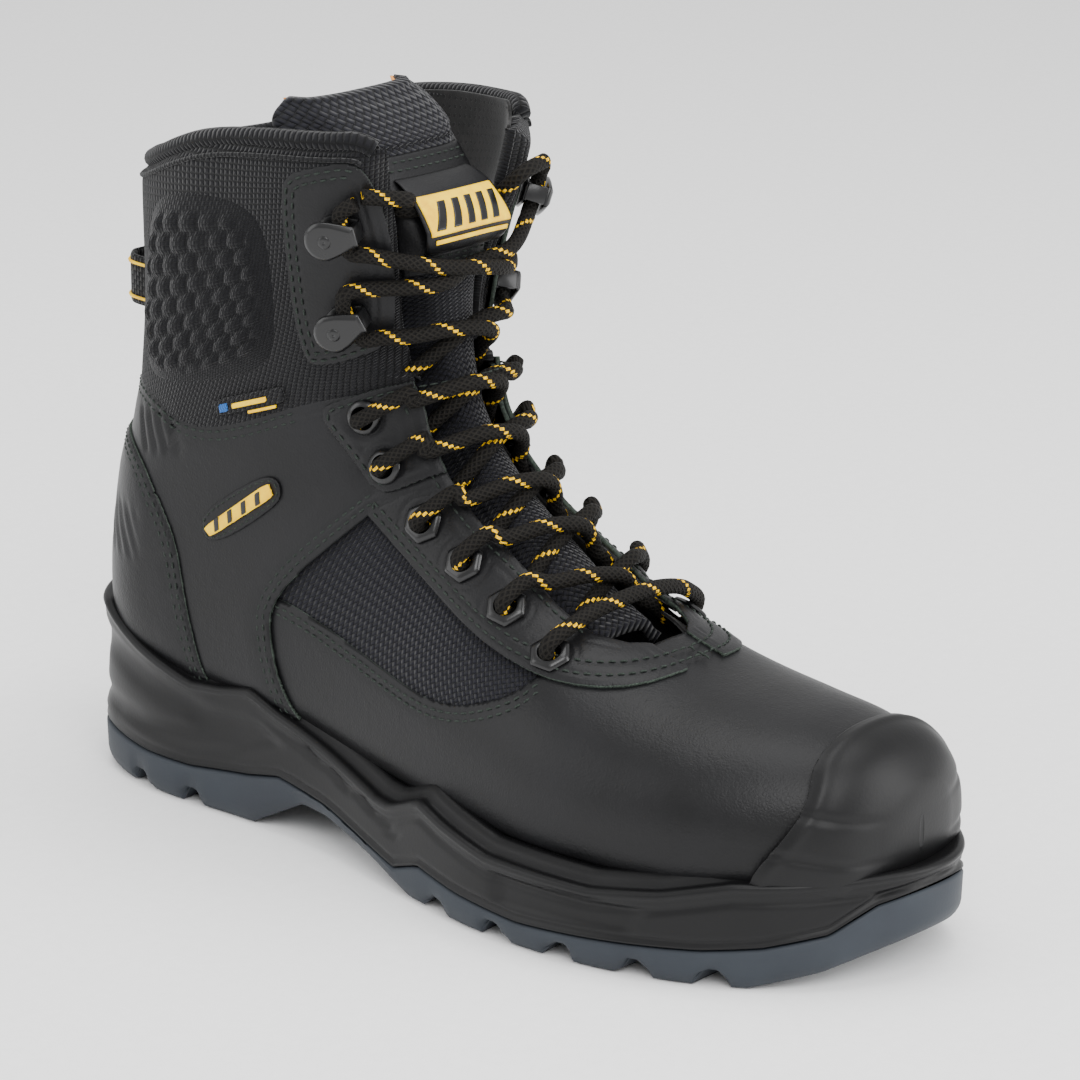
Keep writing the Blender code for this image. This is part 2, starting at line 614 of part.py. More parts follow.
def build_eyelets(looks):
    """Hexagonal eyelets on the instep and round ones on the ankle, each a barrel under a flange."""
    for side, sign in (("outer", -1), ("inner", 1)):
        for i, (u, y) in enumerate(EYELETS):
            hexagonal = i < HEX_EYELETS
            face = OVERLAY[1] if hexagonal else TOP_LAYER[1]
            centre, away, up, out = local_frame(u, sign * y)
            axes = (away, up, out)
            name = f"{'hex' if hexagonal else 'round'}_eyelet_{i + 1}_{side}"
            flange = HEX_FLANGE if hexagonal else ROUND_FLANGE
            sides = 6 if hexagonal else 12
            obj = disc(centre, axes, flange, face + GAP, face + GAP + 1.3, sides, name, looks["metal"], turn=0.3)
            barrel = disc(centre, axes, EYELET_BARREL, -1.1, face + GAP + 0.6)
            combine(obj, [barrel], "UNION")
            combine(obj, [disc(centre, axes, EYELET_HOLE, -4.0, face + 4.0, turn=0.26)], "DIFFERENCE")


def hook_outline(radius, at, neck, start):
    """A teardrop in the hook's own plane: round end away from the lacing gap, narrow end towards it."""
    points = [(start, -neck), (at - radius * 0.5, -radius * 0.87)]
    points += [(at + radius * math.cos(a), radius * math.sin(a)) for a in np.radians((-90, -54, -18, 18, 54, 90))]
    return points + [(at - radius * 0.5, radius * 0.87), (start, neck)]


def plate(frame, outline, low, high, name="plate", look=None):
    centre, away, up, out = frame
    points = [centre + away * a + up * b + out * level for level in (low, high) for a, b in outline]
    count = len(outline)
    faces = [tuple(range(count)), tuple(range(count, 2 * count))]
    faces += [(k, (k + 1) % count, count + (k + 1) % count, count + k) for k in range(count)]
    return solid(name, points, faces, look) if look else cutter(name, points, faces)


def build_hooks(looks):
    for side, sign in (("outer", -1), ("inner", 1)):
        for i, (u, y) in enumerate(HOOKS):
            frame = local_frame(u, sign * y, OVERLAY[1])
            base = plate(frame, hook_outline(5.2, 2.0, 3.0, -6.0), 1.0, 2.2, f"hook_{i + 1}_{side}", looks["metal"])
            neck = plate(frame, [(-6.2, -2.6), (-4.7, -2.6), (-4.7, 2.6), (-6.2, 2.6)], 1.6, 8.6)
            flap = plate(frame, hook_outline(5.6, 3.2, 2.9, -6.4), 7.9, 9.0)
            combine(base, [neck, flap], "UNION")


def strand(start_u, end_u, side, profile, lift=0.0):
    """Points of one lacing strand over the tongue, from the far side to this side."""
    points = []
    for y, height in profile:
        f = 0.5 + y / 62.0
        rise = lift * max(0.0, min(1.0, (y - 6.0) / 6.0))
        points.append(front_point(start_u + (end_u - start_u) * f, side * y, height + rise))
    return points


STRAND_OVER = [(-20, LACE_INSIDE), (-15.5, LACE_INSIDE), (-11, -1.5), (-5, 1.9), (1, 3.0), (9, 3.0), (18.5, 3.5)]
STRAND_UNDER = [(-20, LACE_INSIDE), (-15.5, LACE_INSIDE), (-8, -3.3), (0, -2.6), (6, -2.0), (11, 1.0), (14.5, 3.2),
                (19.5, 3.6)]


def around_hook(index, side):
    """Up behind the hook: from below its neck, round the far side of it, to above."""
    u, y = HOOKS[index]
    centre, away, up, out = local_frame(u, side * y, OVERLAY[1])
    corners = ((-7.5, -8.2, 3.6), (-2.4, -6.4, 4.6), (-1.6, -2.4, 4.9), (-1.6, 2.4, 4.9), (-2.4, 6.4, 4.6),
               (-7.5, 8.6, 3.9))
    return [centre + away * a + up * b + out * c for a, b, c in corners]


def through_eyelet(index, side):
    """From the outside, over the flange, and down the hole."""
    u, y = EYELETS[index]
    lift = 0.0 if index < HEX_EYELETS else TOP_LAYER[1] - OVERLAY[1]
    return [front_point(u, side * (y - 7.0), LACE_OVER + 0.3 + lift), front_point(u, side * y, LACE_OVER + lift),
            front_point(u, side * y, LACE_INSIDE)]


def lace_half(side):
    """From the bottom bar's end at the lowest eyelet on this side, up to this end's top hook."""
    points = through_eyelet(0, side)
    for i in range(1, len(EYELETS)):
        side = -side
        lift = 0.0 if i < HEX_EYELETS else TOP_LAYER[1] - OVERLAY[1]
        profile = STRAND_OVER if side < 0 else STRAND_UNDER
        points += strand(EYELETS[i - 1][0], EYELETS[i][0], side, profile, lift) + through_eyelet(i, side)
    side = -side
    profile = STRAND_OVER if side < 0 else STRAND_UNDER
    points += strand(EYELETS[-1][0], HOOKS[0][0] - 0.6, side, profile) + around_hook(0, side)
    side = -side
    top = 4.6 if side < 0 else -0.9
    points += [front_point(14.85, -side * 14, 3.6), front_point(15.0, 0.0, top), front_point(15.35, side * 15, 3.6)]
    return points + around_hook(1, side), side


def cord(name, points, diameter, look, sides=2):
    """A tube with filled ends on a chain of straight spans."""
    data = bpy.data.curves.new(name, "CURVE")
    data.dimensions = "3D"
    data.bevel_depth = diameter / 2 * MM
    data.bevel_resolution = sides
    data.use_fill_caps = True
    data.twist_mode = "MINIMUM"
    line = data.splines.new("POLY")
    line.points.add(len(points) - 1)
    shift = np.array([CENTRE_X, CENTRE_Y, 0.0])
    for point, place in zip(line.points, points):
        point.co = (*((np.asarray(place) - shift) * MM), 1.0)
    obj = bpy.data.objects.new(name, data)
    bpy.context.scene.collection.objects.link(obj)
    data.materials.append(look)
    return obj


def lace_end(side):
    """From the top hook on this side to behind the tongue's label, then the aglet's two ends."""
    level = 16.62 if side < 0 else 15.98
    u, y = HOOKS[1]
    centre, away, up, out = local_frame(u, side * y, OVERLAY[1])
    start = centre + away * -10.0 + up * 10.2 + out * 3.4
    points = [start, front_point(17.1, side * 23.0, 1.2)]
    places = ((level + 0.22, 22.6), (level + 0.05, 20), (level, 17), (level, 10), (level, 3))
    points += [tongue_point(u, side * y, LACE_BEHIND_LABEL) for u, y in places]
    return points, [tongue_point(level, side * y, LACE_BEHIND_LABEL) for y in (2, -5, -12)]


def build_lacing(looks):
    outer_half, outer_end = lace_half(-1)
    inner_half, inner_end = lace_half(1)
    u, y = EYELETS[0]
    bar = [front_point(u, side_y, height) for side_y, height in ((-18, 4.3), (-7, 3.7), (7, 3.7), (18, 4.3))]
    cord("lace", outer_half[::-1] + bar + inner_half, LACE, looks["lace"])
    for side, name in ((-1, "outer"), (1, "inner")):
        end, tip = lace_end(side)
        cord(f"lace_end_{name}", end, LACE, looks["lace"])
        cord(f"aglet_{name}", tip, LACE - 0.6, looks["aglet"])


def build_pull_loop(look):
    """A webbing band standing off the back of the collar, wide enough for a finger."""
    outer = np.array(LOOP_BAND, float)
    tangent = np.gradient(outer, axis=0)
    inwards = np.stack([-tangent[:, 1], tangent[:, 0]], -1)
    inwards /= np.linalg.norm(inwards, axis=1)[:, None]
    inner = outer - inwards * 1.4
    count = len(outer)
    points = [(x, y, z) for z in LOOP_HEIGHTS for x, y in np.vstack([outer, inner[::-1]])]
    total = 2 * count
    faces = []
    for base in (0, total):
        faces += [(base + k, base + k + 1, base + total - 2 - k, base + total - 1 - k) for k in range(count - 1)]
    faces += [(k, (k + 1) % total, total + (k + 1) % total, total + k) for k in range(total)]
    obj = solid("pull_loop", points, faces, look)
    return combine(obj, [sock_solid("back", COLLAR[1] + GAP)], "DIFFERENCE")


def hang_on(names, pivot):
    """Moves the origins of a moving group to its hinge line, leaving every point where it is."""
    origin = Vector((np.array(pivot) - (CENTRE_X, CENTRE_Y, 0.0)) * MM)
    for name in names:
        obj = bpy.data.objects[name]
        obj.data.transform(Matrix.Translation(-origin))
        obj.location = origin


def build_upper(looks):
    leather, textile = looks["leather"], looks["textile"]
    tuck_holes = lace_holes(EYELETS[:2], 6.5, -1) + lace_holes(EYELETS[:2], 6.5, 1)
    panel("vamp", UNDERLAY, VAMP, leather, holes=tuck_holes)
    both_sides("textile_panel", TEXTILE, TEXTILE_WINDOW, looks["mesh"], TUCK_THROAT)
    both_sides("quarter", OVERLAY, QUARTER, leather, THROAT, EYELETS[HEX_EYELETS:])
    lower = EYELETS[:HEX_EYELETS]
    eyestay_holes = lace_holes(lower, LEATHER_HOLE, -1) + lace_holes(lower, LEATHER_HOLE, 1)
    panel("eyestay", OVERLAY, EYESTAY, leather, throat=THROAT, holes=eyestay_holes)
    panel("heel_patch", TOP_LAYER, HEEL_PATCH, leather)
    both_sides("upper_eyelet_panel", TOP_LAYER, UPPER_EYELET_PANEL, leather, THROAT, EYELETS[HEX_EYELETS:])
    for obj, sign in zip(both_sides("collar", COLLAR, COLLAR_SIDE, textile, THROAT), (-1, 1)):
        combine(obj, lace_holes(EYELETS[-1:], 8.5, sign), "DIFFERENCE")
    both_sides("hook_panel", OVERLAY, HOOK_PANEL, leather)
    both_sides("ankle_pad", (-1.0, 0.8), ANKLE_PAD, textile)
    panel("side_badge", (0.7, 2.2), SIDE_BADGE, looks["yellow"], high=0.0)
    panel("side_tag", (-1.0, -0.2), SIDE_TAG, looks["blue"], high=0.0)
    panel("heel_counter", COUNTER, COUNTER_SIDE, looks["counter"])
    panel("steel_toe_cap", TOE_CAP, STEEL_CAP_SIDE, looks["steel"])
    panel("toe_cap_edge_strip", TOE_CAP, CAP_STRIP_SIDE, looks["counter"])
    build_lining(looks["lining"])


def build_sole(looks):
    build_outsole(looks["grey"])
    build_midsole(looks["black"])
    underfoot("puncture_plate", PLATE, 17, 31, 286, looks["steel"])
    underfoot("insole_board", BOARD, 17, 30, 286, looks["board"])
    build_footbed(looks["footbed"])


def main():
    clear_scene()
    looks = {
        "leather": material("black_leather", (0.012, 0.013, 0.014), 0.42),
        "textile": material("black_textile", (0.008, 0.008, 0.010), 0.85),
        "mesh": material("woven_nylon", (0.010, 0.010, 0.014), 0.75),
        "grey": material("grey_rubber", (0.045, 0.055, 0.066), 0.55),
        "black": material("black_polyurethane", (0.010, 0.011, 0.012), 0.45),
        "steel": material("steel", (0.55, 0.56, 0.57), 0.35, 1.0),
        "board": material("insole_board", (0.55, 0.50, 0.40), 0.9),
        "footbed": material("footbed_foam", (0.04, 0.04, 0.045), 0.9),
        "counter": material("heel_stiffener", (0.35, 0.33, 0.28), 0.7),
        "lining": material("bootie_lining", (0.03, 0.03, 0.035), 0.95),
        "orange": material("orange_lining", (0.80, 0.28, 0.02), 0.9),
        "metal": material("black_metal", (0.012, 0.012, 0.014), 0.3, 0.8),
        "lace": material("lace", (0.015, 0.013, 0.010), 0.8),
        "webbing": material("webbing", (0.010, 0.010, 0.012), 0.85),
        "yellow": material("badge_yellow", (0.75, 0.40, 0.005), 0.5),
        "blue": material("tag_blue", (0.01, 0.10, 0.40), 0.7),
        "aglet": material("aglet", (0.01, 0.01, 0.01), 0.25),
    }
    build_sole(looks)
    build_upper(looks)
    build_tongue(looks)
    build_eyelets(looks)
    build_hooks(looks)
    build_lacing(looks)
    build_pull_loop(looks["webbing"])
    hang_on(["footbed"], FOOTBED_PIVOT)
    tongue = ["tongue_body", "tongue_top_pad", "tongue_lining", "tongue_patch", "tongue_label", "aglet_outer",
              "aglet_inner"]
    hang_on(tongue, TONGUE_PIVOT)


main()
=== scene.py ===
"""A steel toe work boot, right foot: leather, textiles, sole, lacing and a studio to see them in.

Lengths are in millimetres until a mesh is made. The upper is one fan-shaped surface round foot and ankle,
and each panel is a sheet cut from it, lifted to its own layer and given its thickness.
"""

import math

import bmesh
import bpy
import numpy as np
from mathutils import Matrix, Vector

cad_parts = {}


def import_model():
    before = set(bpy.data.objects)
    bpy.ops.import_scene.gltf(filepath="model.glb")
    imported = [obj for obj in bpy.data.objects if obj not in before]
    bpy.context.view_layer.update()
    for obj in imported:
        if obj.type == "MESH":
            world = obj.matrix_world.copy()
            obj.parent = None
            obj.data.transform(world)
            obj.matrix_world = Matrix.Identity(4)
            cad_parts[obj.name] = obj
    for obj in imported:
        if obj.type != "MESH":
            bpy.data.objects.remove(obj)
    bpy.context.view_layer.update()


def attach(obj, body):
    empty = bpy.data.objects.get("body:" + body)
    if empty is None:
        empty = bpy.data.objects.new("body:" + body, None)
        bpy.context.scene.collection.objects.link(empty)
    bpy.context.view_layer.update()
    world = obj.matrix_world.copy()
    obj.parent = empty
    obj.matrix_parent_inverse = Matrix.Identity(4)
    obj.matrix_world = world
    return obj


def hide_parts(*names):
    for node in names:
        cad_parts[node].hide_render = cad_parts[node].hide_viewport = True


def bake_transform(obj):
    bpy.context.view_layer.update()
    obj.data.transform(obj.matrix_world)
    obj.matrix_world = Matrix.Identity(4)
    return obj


MM = 0.001
HEEL_BACK = np.array([159.0, -2.25, 0.0])

# front ridge x, z; rear ridge x, z; outer and inner half width; centre y; widest line; rear and front roundness
SECTIONS = np.array([
    (309.0, 47.0, 309.0, 38.0, 0.5, 0.5, 7.0, 0.50, 2.0, 2.0),
    (308.0, 57.0, 307.0, 27.0, 16.0, 16.0, 7.0, 0.50, 2.3, 2.1),
    (300.0, 67.0, 303.0, 21.0, 29.0, 29.0, 6.0, 0.46, 2.7, 2.2),
    (282.0, 72.0, 286.0, 18.0, 41.5, 40.5, 4.0, 0.44, 3.0, 2.2),
    (262.0, 74.5, 264.0, 17.0, 49.0, 46.5, 2.0, 0.42, 3.2, 2.2),
    (242.0, 77.5, 238.0, 16.5, 53.0, 49.5, 1.0, 0.39, 3.2, 2.2),
    (221.0, 83.5, 208.0, 17.0, 54.0, 48.5, 0.0, 0.37, 3.2, 2.2),
    (202.0, 92.0, 176.0, 19.0, 51.5, 44.5, 0.0, 0.35, 3.2, 2.15),
    (186.0, 104.5, 142.0, 23.0, 47.0, 40.5, 0.0, 0.31, 3.1, 2.1),
    (172.0, 116.0, 102.0, 28.0, 41.5, 38.5, 0.0, 0.27, 3.1, 2.1),
    (160.0, 128.0, 62.0, 31.0, 38.5, 38.0, 0.0, 0.22, 2.9, 2.15),
    (152.5, 140.0, 23.0, 34.0, 37.5, 37.0, 0.0, 0.21, 2.5, 2.2),
    (148.5, 151.0, 10.0, 45.0, 37.0, 36.5, 0.0, 0.22, 2.2, 2.3),
    (146.5, 161.0, 6.5, 66.0, 37.0, 36.5, 0.0, 0.26, 2.1, 2.35),
    (145.5, 171.0, 8.0, 92.0, 37.0, 37.0, 0.0, 0.32, 2.05, 2.4),
    (145.0, 182.0, 15.0, 122.0, 38.5, 39.0, 0.0, 0.38, 2.05, 2.5),
    (145.0, 193.0, 19.0, 152.0, 41.0, 42.0, 1.0, 0.42, 2.1, 2.6),
    (145.5, 205.0, 19.0, 182.0, 43.5, 46.0, 2.0, 0.44, 2.1, 2.8),
    (147.0, 220.0, 18.0, 212.0, 45.0, 49.0, 2.5, 0.45, 2.1, 2.9),
    (148.0, 238.0, 19.0, 240.0, 45.5, 50.0, 3.0, 0.45, 2.1, 2.9),
])
TOP = len(SECTIONS) - 1

OUTER_EDGE = [(0, 0), (4, -19), (17, -34), (45, -42), (85, -41.5), (120, -44), (160, -53), (198, -60),
              (235, -59), (268, -49.5), (296, -32), (313, -9), (318, 9)]
INNER_EDGE = [(0, 0), (4, 19), (17, 34), (45, 42), (80, 41), (115, 41), (150, 45), (190, 53),
              (230, 56), (268, 52), (296, 42), (313, 26), (318, 9)]
GROUND_LINE = [(0, 3), (9, 0), (87, 0), (110, 12), (121, 11.5), (146, 6), (165, 0), (284, 0), (300, 5), (318, 15)]
OUTSOLE_TOP = [(0, 16), (40, 13), (62, 13), (87, 16), (101, 19), (125, 16), (160, 8), (172, 12.5),
               (190, 10), (216, 8), (274, 11), (289, 13), (303, 17), (311, 25), (318, 28)]
MIDSOLE_TOP = [(0, 58), (16, 56), (38, 48), (62, 41), (75, 42), (88, 44.5), (100, 40), (151, 27.5), (158, 27.5),
               (172, 33.5), (183, 30), (203, 25.5), (241, 24.5), (262, 27), (282, 32), (318, 34)]

HEEL_PATCH = [(-30, 112), (20, 115), (38, 110), (48, 96), (54, 85), (58, 67), (63, 53), (70, 34), (-30, 34)]
QUARTER = [(-30, 131), (30, 133), (46, 130), (57, 125), (69, 125), (85, 130), (101, 137), (122, 143), (150, 149),
           (170, 122), (131, 109), (128, 106), (94, 75), (95, 60), (102, 46), (112, 34), (-30, 34)]
VAMP_TOP = [(340, 10), (340, 110), (228, 110), (225, 80), (206, 79), (199, 70), (175, 61), (150, 63.5), (98, 75.5),
            (86, 74), (88, 58), (97, 44), (106, 10)]
TEXTILE_WINDOW = [(84, 78), (128, 113), (133, 109), (162, 94), (206, 84), (204, 60), (174, 50), (140, 54), (92, 62)]
EYESTAY = [(129, 106), (124, 111), (160, 132), (185, 130), (235, 105), (243, 97), (242, 80), (229, 75),
           (197, 76.5), (160, 90)]
UPPER_EYELET_PANEL = [(108.5, 137), (133, 147.5), (172, 156), (175, 124), (152, 123), (131.5, 112.5)]
COLLAR_SIDE = [(-30, 197), (20, 200), (38, 204), (57, 212), (75, 218), (98, 221), (120, 222), (131, 223), (137, 218),
               (165, 214), (165, 158), (134, 146), (118, 139), (101, 131), (85, 124), (69, 119), (57, 119),
               (46, 124), (30, 126), (-30, 124)]
HOOK_PANEL = [(104.5, 205), (108, 211), (117, 214), (129, 217), (134, 210), (136, 190), (134, 166),
              (131, 158), (112, 150), (105, 152)]
ANKLE_PAD = [(36, 150), (40, 178), (47, 193), (62, 199.5), (84, 201), (96, 197), (100, 186), (99, 158), (93, 147),
             (70, 139), (48, 135), (38, 139)]
BADGE = [(65.5, 92), (68.5, 87.5), (78, 91.5), (96, 104.5), (97.5, 110), (94, 114), (85, 110), (67, 97.5)]
BADGE_FACE = [(67.5, 92.4), (70.4, 89.8), (95.2, 107.3), (93, 111.6)]
TAG = [(73.5, 129.3), (99.5, 138), (98.3, 142.8), (72.2, 134.2)]
BUMPER = [(281, 20), (284, 34), (292, 46), (295.5, 56), (291, 66), (291, 90), (335, 90), (335, 20)]

THROAT = [(5.9, 8), (6.1, 14), (6.5, 19), (7.2, 20), (9.0, 19.5), (10.5, 17.5), (11.5, 17), (12.6, 18.5), (13.7, 20),
          (16.3, 24), (17.5, 27.5), (19.0, 31)]
TONGUE_HALF_WIDTH = [(6.6, 23), (7.2, 26), (9.0, 26), (11.0, 24.5), (13.0, 23.5), (15.0, 25), (16.5, 28),
                     (17.8, 30.5),
                     (18.6, 29)]
TONGUE_FOLD = [(6.0, 0, 0), (15.4, 0, 0), (16.2, -3, 0), (17.0, -10, 0), (17.8, -22, -1.5), (18.6, -40, -5)]
TONGUE_CENTRE = -6.8
TONGUE_EDGE = -10.3
TONGUE_THICK = 3.6
PATCH = (0.9, 2.1)

EYELETS = [(6.7, 32.5), (7.7, 30.0), (8.7, 27.5), (9.65, 26.0), (10.9, 24.5), (12.25, 25.5)]
HEX_EYELETS = 4
HOOKS = [(14.7, 29.5), (16.65, 34.0)]
OVERLAY_TOP = 0.4
TOP_LAYER_TOP = 2.1
LACE = 4.8
LACE_INSIDE = -4.6
LACE_OVER = 4.5
LACE_BEHIND_LABEL = 5.25
LABEL_SECTIONS = (15.45, 17.2)
LABEL_HALF_WIDTH = 18.8
LABEL_ARCH = 7.8

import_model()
bpy.ops.object.select_all(action="DESELECT")


# ---------------------------------------------------------------- surface

def through(table, x):
    rows = np.asarray(table, float)
    return np.interp(x, rows[:, 0], rows[:, 1])


def smooth_rows(rows, u):
    """Catmull-Rom reading of a table at the fractional row u."""
    rows = np.asarray(rows, float)
    last = len(rows) - 1
    u = np.clip(np.asarray(u, float), 0, last - 1e-9)
    i = u.astype(int)
    f = (u - i)[..., None]
    a, b, c, d = (rows[np.clip(i + k, 0, last)] for k in (-1, 0, 1, 2))
    return 0.5 * (2 * b + (c - a) * f + (2 * a - 5 * b + 4 * c - d) * f**2 + (3 * b - a - 3 * c + d) * f**3)


def section_at(u):
    return np.moveaxis(smooth_rows(SECTIONS, u), -1, 0)


def fan_point(u, angle):
    """Angle 0 is the rear ridge, half a turn the front ridge, by the outer side first."""
    front_x, front_z, rear_x, rear_z, outer, inner, centre, widest, rear_round, front_round = section_at(u)
    power = 2.0 / np.where(np.cos(angle) > 0, rear_round, front_round)
    along = np.abs(np.cos(angle)) ** power
    across = np.abs(np.sin(angle)) ** power
    t = np.where(np.cos(angle) > 0, widest * (1 - along), widest + (1 - widest) * along)
    y = centre + np.where(np.sin(angle) >= 0, -outer, inner) * across
    return np.stack([rear_x + (front_x - rear_x) * t, y, rear_z + (front_z - rear_z) * t], -1)


def fan_normal(u, angle):
    """Outward unit normals; the ridges are read a little to each side, where the surface has a slope."""
    step = 0.015
    along = fan_point(np.clip(u + step, 0, TOP), angle) - fan_point(np.clip(u - step, 0, TOP), angle)
    across = fan_point(u, angle + 0.05) - fan_point(u, angle - 0.05)
    normal = np.cross(across, along)
    return normal / np.maximum(np.linalg.norm(normal, axis=-1), 1e-9)[..., None]


def front_angle(u, y):
    _, _, _, _, outer, inner, centre, _, _, front_round = section_at(u)
    width = np.where(y < centre, outer, inner)
    ratio = np.clip(np.abs(y - centre) / width, 0, 0.999) ** (front_round / 2.0)
    turn = np.arcsin(ratio)
    return np.where(y < centre, math.pi - turn, math.pi + turn)


def front_point(u, y, offset=0.0):
    step_u, step_y = 0.05, 0.5
    p = fan_point(u, front_angle(u, y))
    along = fan_point(u + step_u, front_angle(u + step_u, y)) - fan_point(u - step_u, front_angle(u - step_u, y))
    across = fan_point(u, front_angle(u, y + step_y)) - fan_point(u, front_angle(u, y - step_y))
    normal = np.cross(across, along)
    normal /= np.linalg.norm(normal, axis=-1)[..., None]
    return p + normal * np.asarray(offset, float)[..., None]


def local_frame(u, y, offset=0.0):
    """Centre and axes at a point beside the front ridge: away from the ridge, up the ridge, outwards."""
    centre = front_point(u, y, offset)
    outwards = front_point(u, y, offset + 1) - centre
    away = front_point(u, y + math.copysign(1.0, y), offset) - centre
    away -= outwards * np.dot(away, outwards)
    away /= np.linalg.norm(away)
    up = np.cross(outwards, away)
    if up[2] < 0:
        up = -up
    return centre, away, up, outwards


def on_side(x, z, side):
    """Section and angle of the point that is seen at x, z from the outer side (-1) or the inner side (1)."""
    x, z = np.atleast_1d(np.asarray(x, float)), np.atleast_1d(np.asarray(z, float))
    lines = np.linspace(0.05, TOP, 480)
    front_x, front_z, rear_x, rear_z = section_at(lines)[:4]
    dx, dz = front_x - rear_x, front_z - rear_z
    miss = dx[None] * (z[:, None] - rear_z[None]) - dz[None] * (x[:, None] - rear_x[None])
    t = ((x[:, None] - rear_x) * dx + (z[:, None] - rear_z) * dz) / (dx**2 + dz**2)
    cost = np.abs(miss) / np.hypot(dx, dz) + 30 * np.maximum(0, np.abs(t - 0.5) - 0.5)
    best = np.argmin(cost, axis=1)
    u = lines[best]
    near = np.clip(best + np.where(np.sign(miss[np.arange(len(x)), best]) ==
                                   np.sign(miss[np.arange(len(x)), np.clip(best + 1, 0, 479)]), -1, 1), 0, 479)
    m0, m1 = miss[np.arange(len(x)), best], miss[np.arange(len(x)), near]
    f = np.clip(np.where(np.abs(m0 - m1) > 1e-9, m0 / np.where(np.abs(m0 - m1) > 1e-9, m0 - m1, 1), 0), 0, 1)
    u = lines[best] + (lines[near] - lines[best]) * f
    front_x, front_z, rear_x, rear_z, _, _, _, widest, rear_round, front_round = section_at(u)
    dx, dz = front_x - rear_x, front_z - rear_z
    t = np.clip(((x - rear_x) * dx + (z - rear_z) * dz) / (dx**2 + dz**2), 0, 1)
    rear = t < widest
    c = np.where(rear, (1 - t / widest), (t - widest) / (1 - widest)) ** (np.where(rear, rear_round, front_round) / 2)
    angle = np.where(rear, np.arccos(np.clip(c, 0, 1)), math.pi - np.arccos(np.clip(c, 0, 1)))
    return u, angle if side < 0 else 2 * math.pi - angle


def lifted(u, angle, offset):
    offset = np.asarray(offset, float)
    return fan_point(u, angle) + fan_normal(u, angle) * offset[..., None]


def ruler(u, angle, row=15.0):
    """Distances in millimetres round a section and along the outer side, for patterns that follow the surface."""
    turn = np.linspace(-math.pi, 3 * math.pi, 1441)
    points = fan_point(np.full_like(turn, row), turn)
    lengths = np.concatenate([[0], np.cumsum(np.linalg.norm(np.diff(points, axis=0), axis=1))])
    lines = np.linspace(0, TOP, 400)
    points = fan_point(lines, np.full_like(lines, math.pi / 2))
    climb = np.concatenate([[0], np.cumsum(np.linalg.norm(np.diff(points, axis=0), axis=1))])
    return np.stack([np.interp(angle, turn, lengths), np.interp(u, lines, climb)], -1)


def tongue_offset(u, y):
    t = np.clip((np.abs(y) - (through(THROAT, u) - 9)) / 10, 0, 1)
    return TONGUE_CENTRE + (TONGUE_EDGE - TONGUE_CENTRE) * t * t * (3 - 2 * t)


def tongue_point(u, y, rise=0.0):
    rows = np.array(TONGUE_FOLD)
    fold = np.stack([np.interp(u, rows[:, 0], rows[:, 1]), np.zeros_like(np.asarray(u, float)),
                     np.interp(u, rows[:, 0], rows[:, 2])], -1)
    return front_point(u, y, tongue_offset(u, y) + rise) + fold


def soft_step(x):
    return 1 / (1 + np.exp(-np.clip(x, -40, 40)))


# ---------------------------------------------------------------- outlines

def rounded(outline, times=3, keep=0.25):
    """Corner cutting, which turns a straight-sided outline into a flowing one."""
    points = np.asarray(outline, float)
    for _ in range(times):
        after = np.roll(points, -1, 0)
        points = np.stack([points + (after - points) * keep, after - (after - points) * keep], 1).reshape(-1, 2)
    return points


def outline_distance(outline, x, z):
    """Signed distance to a closed outline, negative inside."""
    points = np.asarray(outline, float)
    best = np.full(x.shape, 1e9)
    inside = np.zeros(x.shape, bool)
    for a, b in zip(points, np.roll(points, -1, 0)):
        edge = b - a
        length = max(edge @ edge, 1e-9)
        t = np.clip(((x - a[0]) * edge[0] + (z - a[1]) * edge[1]) / length, 0, 1)
        best = np.minimum(best, np.hypot(x - a[0] - t * edge[0], z - a[1] - t * edge[1]))
        if a[1] != b[1]:
            crosses = (a[1] > z) != (b[1] > z)
            inside ^= crosses & (x < (b[0] - a[0]) * (z - a[1]) / (b[1] - a[1]) + a[0])
    return np.where(inside, -best, best)


def inset_line(outline, inset, start=None, end=None):
    """The outline moved inwards, as an open run of points every half millimetre; start and end are places on it."""
    points = np.asarray(outline, float)
    area = np.sum(points[:, 0] * np.roll(points[:, 1], -1) - np.roll(points[:, 0], -1) * points[:, 1])
    closed = np.vstack([points, points[:1]])
    lengths = np.concatenate([[0], np.cumsum(np.linalg.norm(np.diff(closed, axis=0), axis=1))])
    at = np.arange(0, lengths[-1], 0.5)
    line = np.stack([np.interp(at, lengths, closed[:, 0]), np.interp(at, lengths, closed[:, 1])], -1)
    tangent = np.roll(line, -3, 0) - np.roll(line, 3, 0)
    tangent /= np.maximum(np.linalg.norm(tangent, axis=1), 1e-9)[:, None]
    turn = 1 if area > 0 else -1
    line = line + np.stack([-tangent[:, 1], tangent[:, 0]], -1) * inset * turn
    if start is None:
        return line
    first = np.argmin(np.hypot(*(line - start).T))
    line = np.roll(line, -first, 0)
    last = np.argmin(np.hypot(*(line - end).T))
    other = np.vstack([line[:1], line[last:][::-1]])
    return line[:last + 1] if last < len(line) / 2 else other


# ---------------------------------------------------------------- meshes

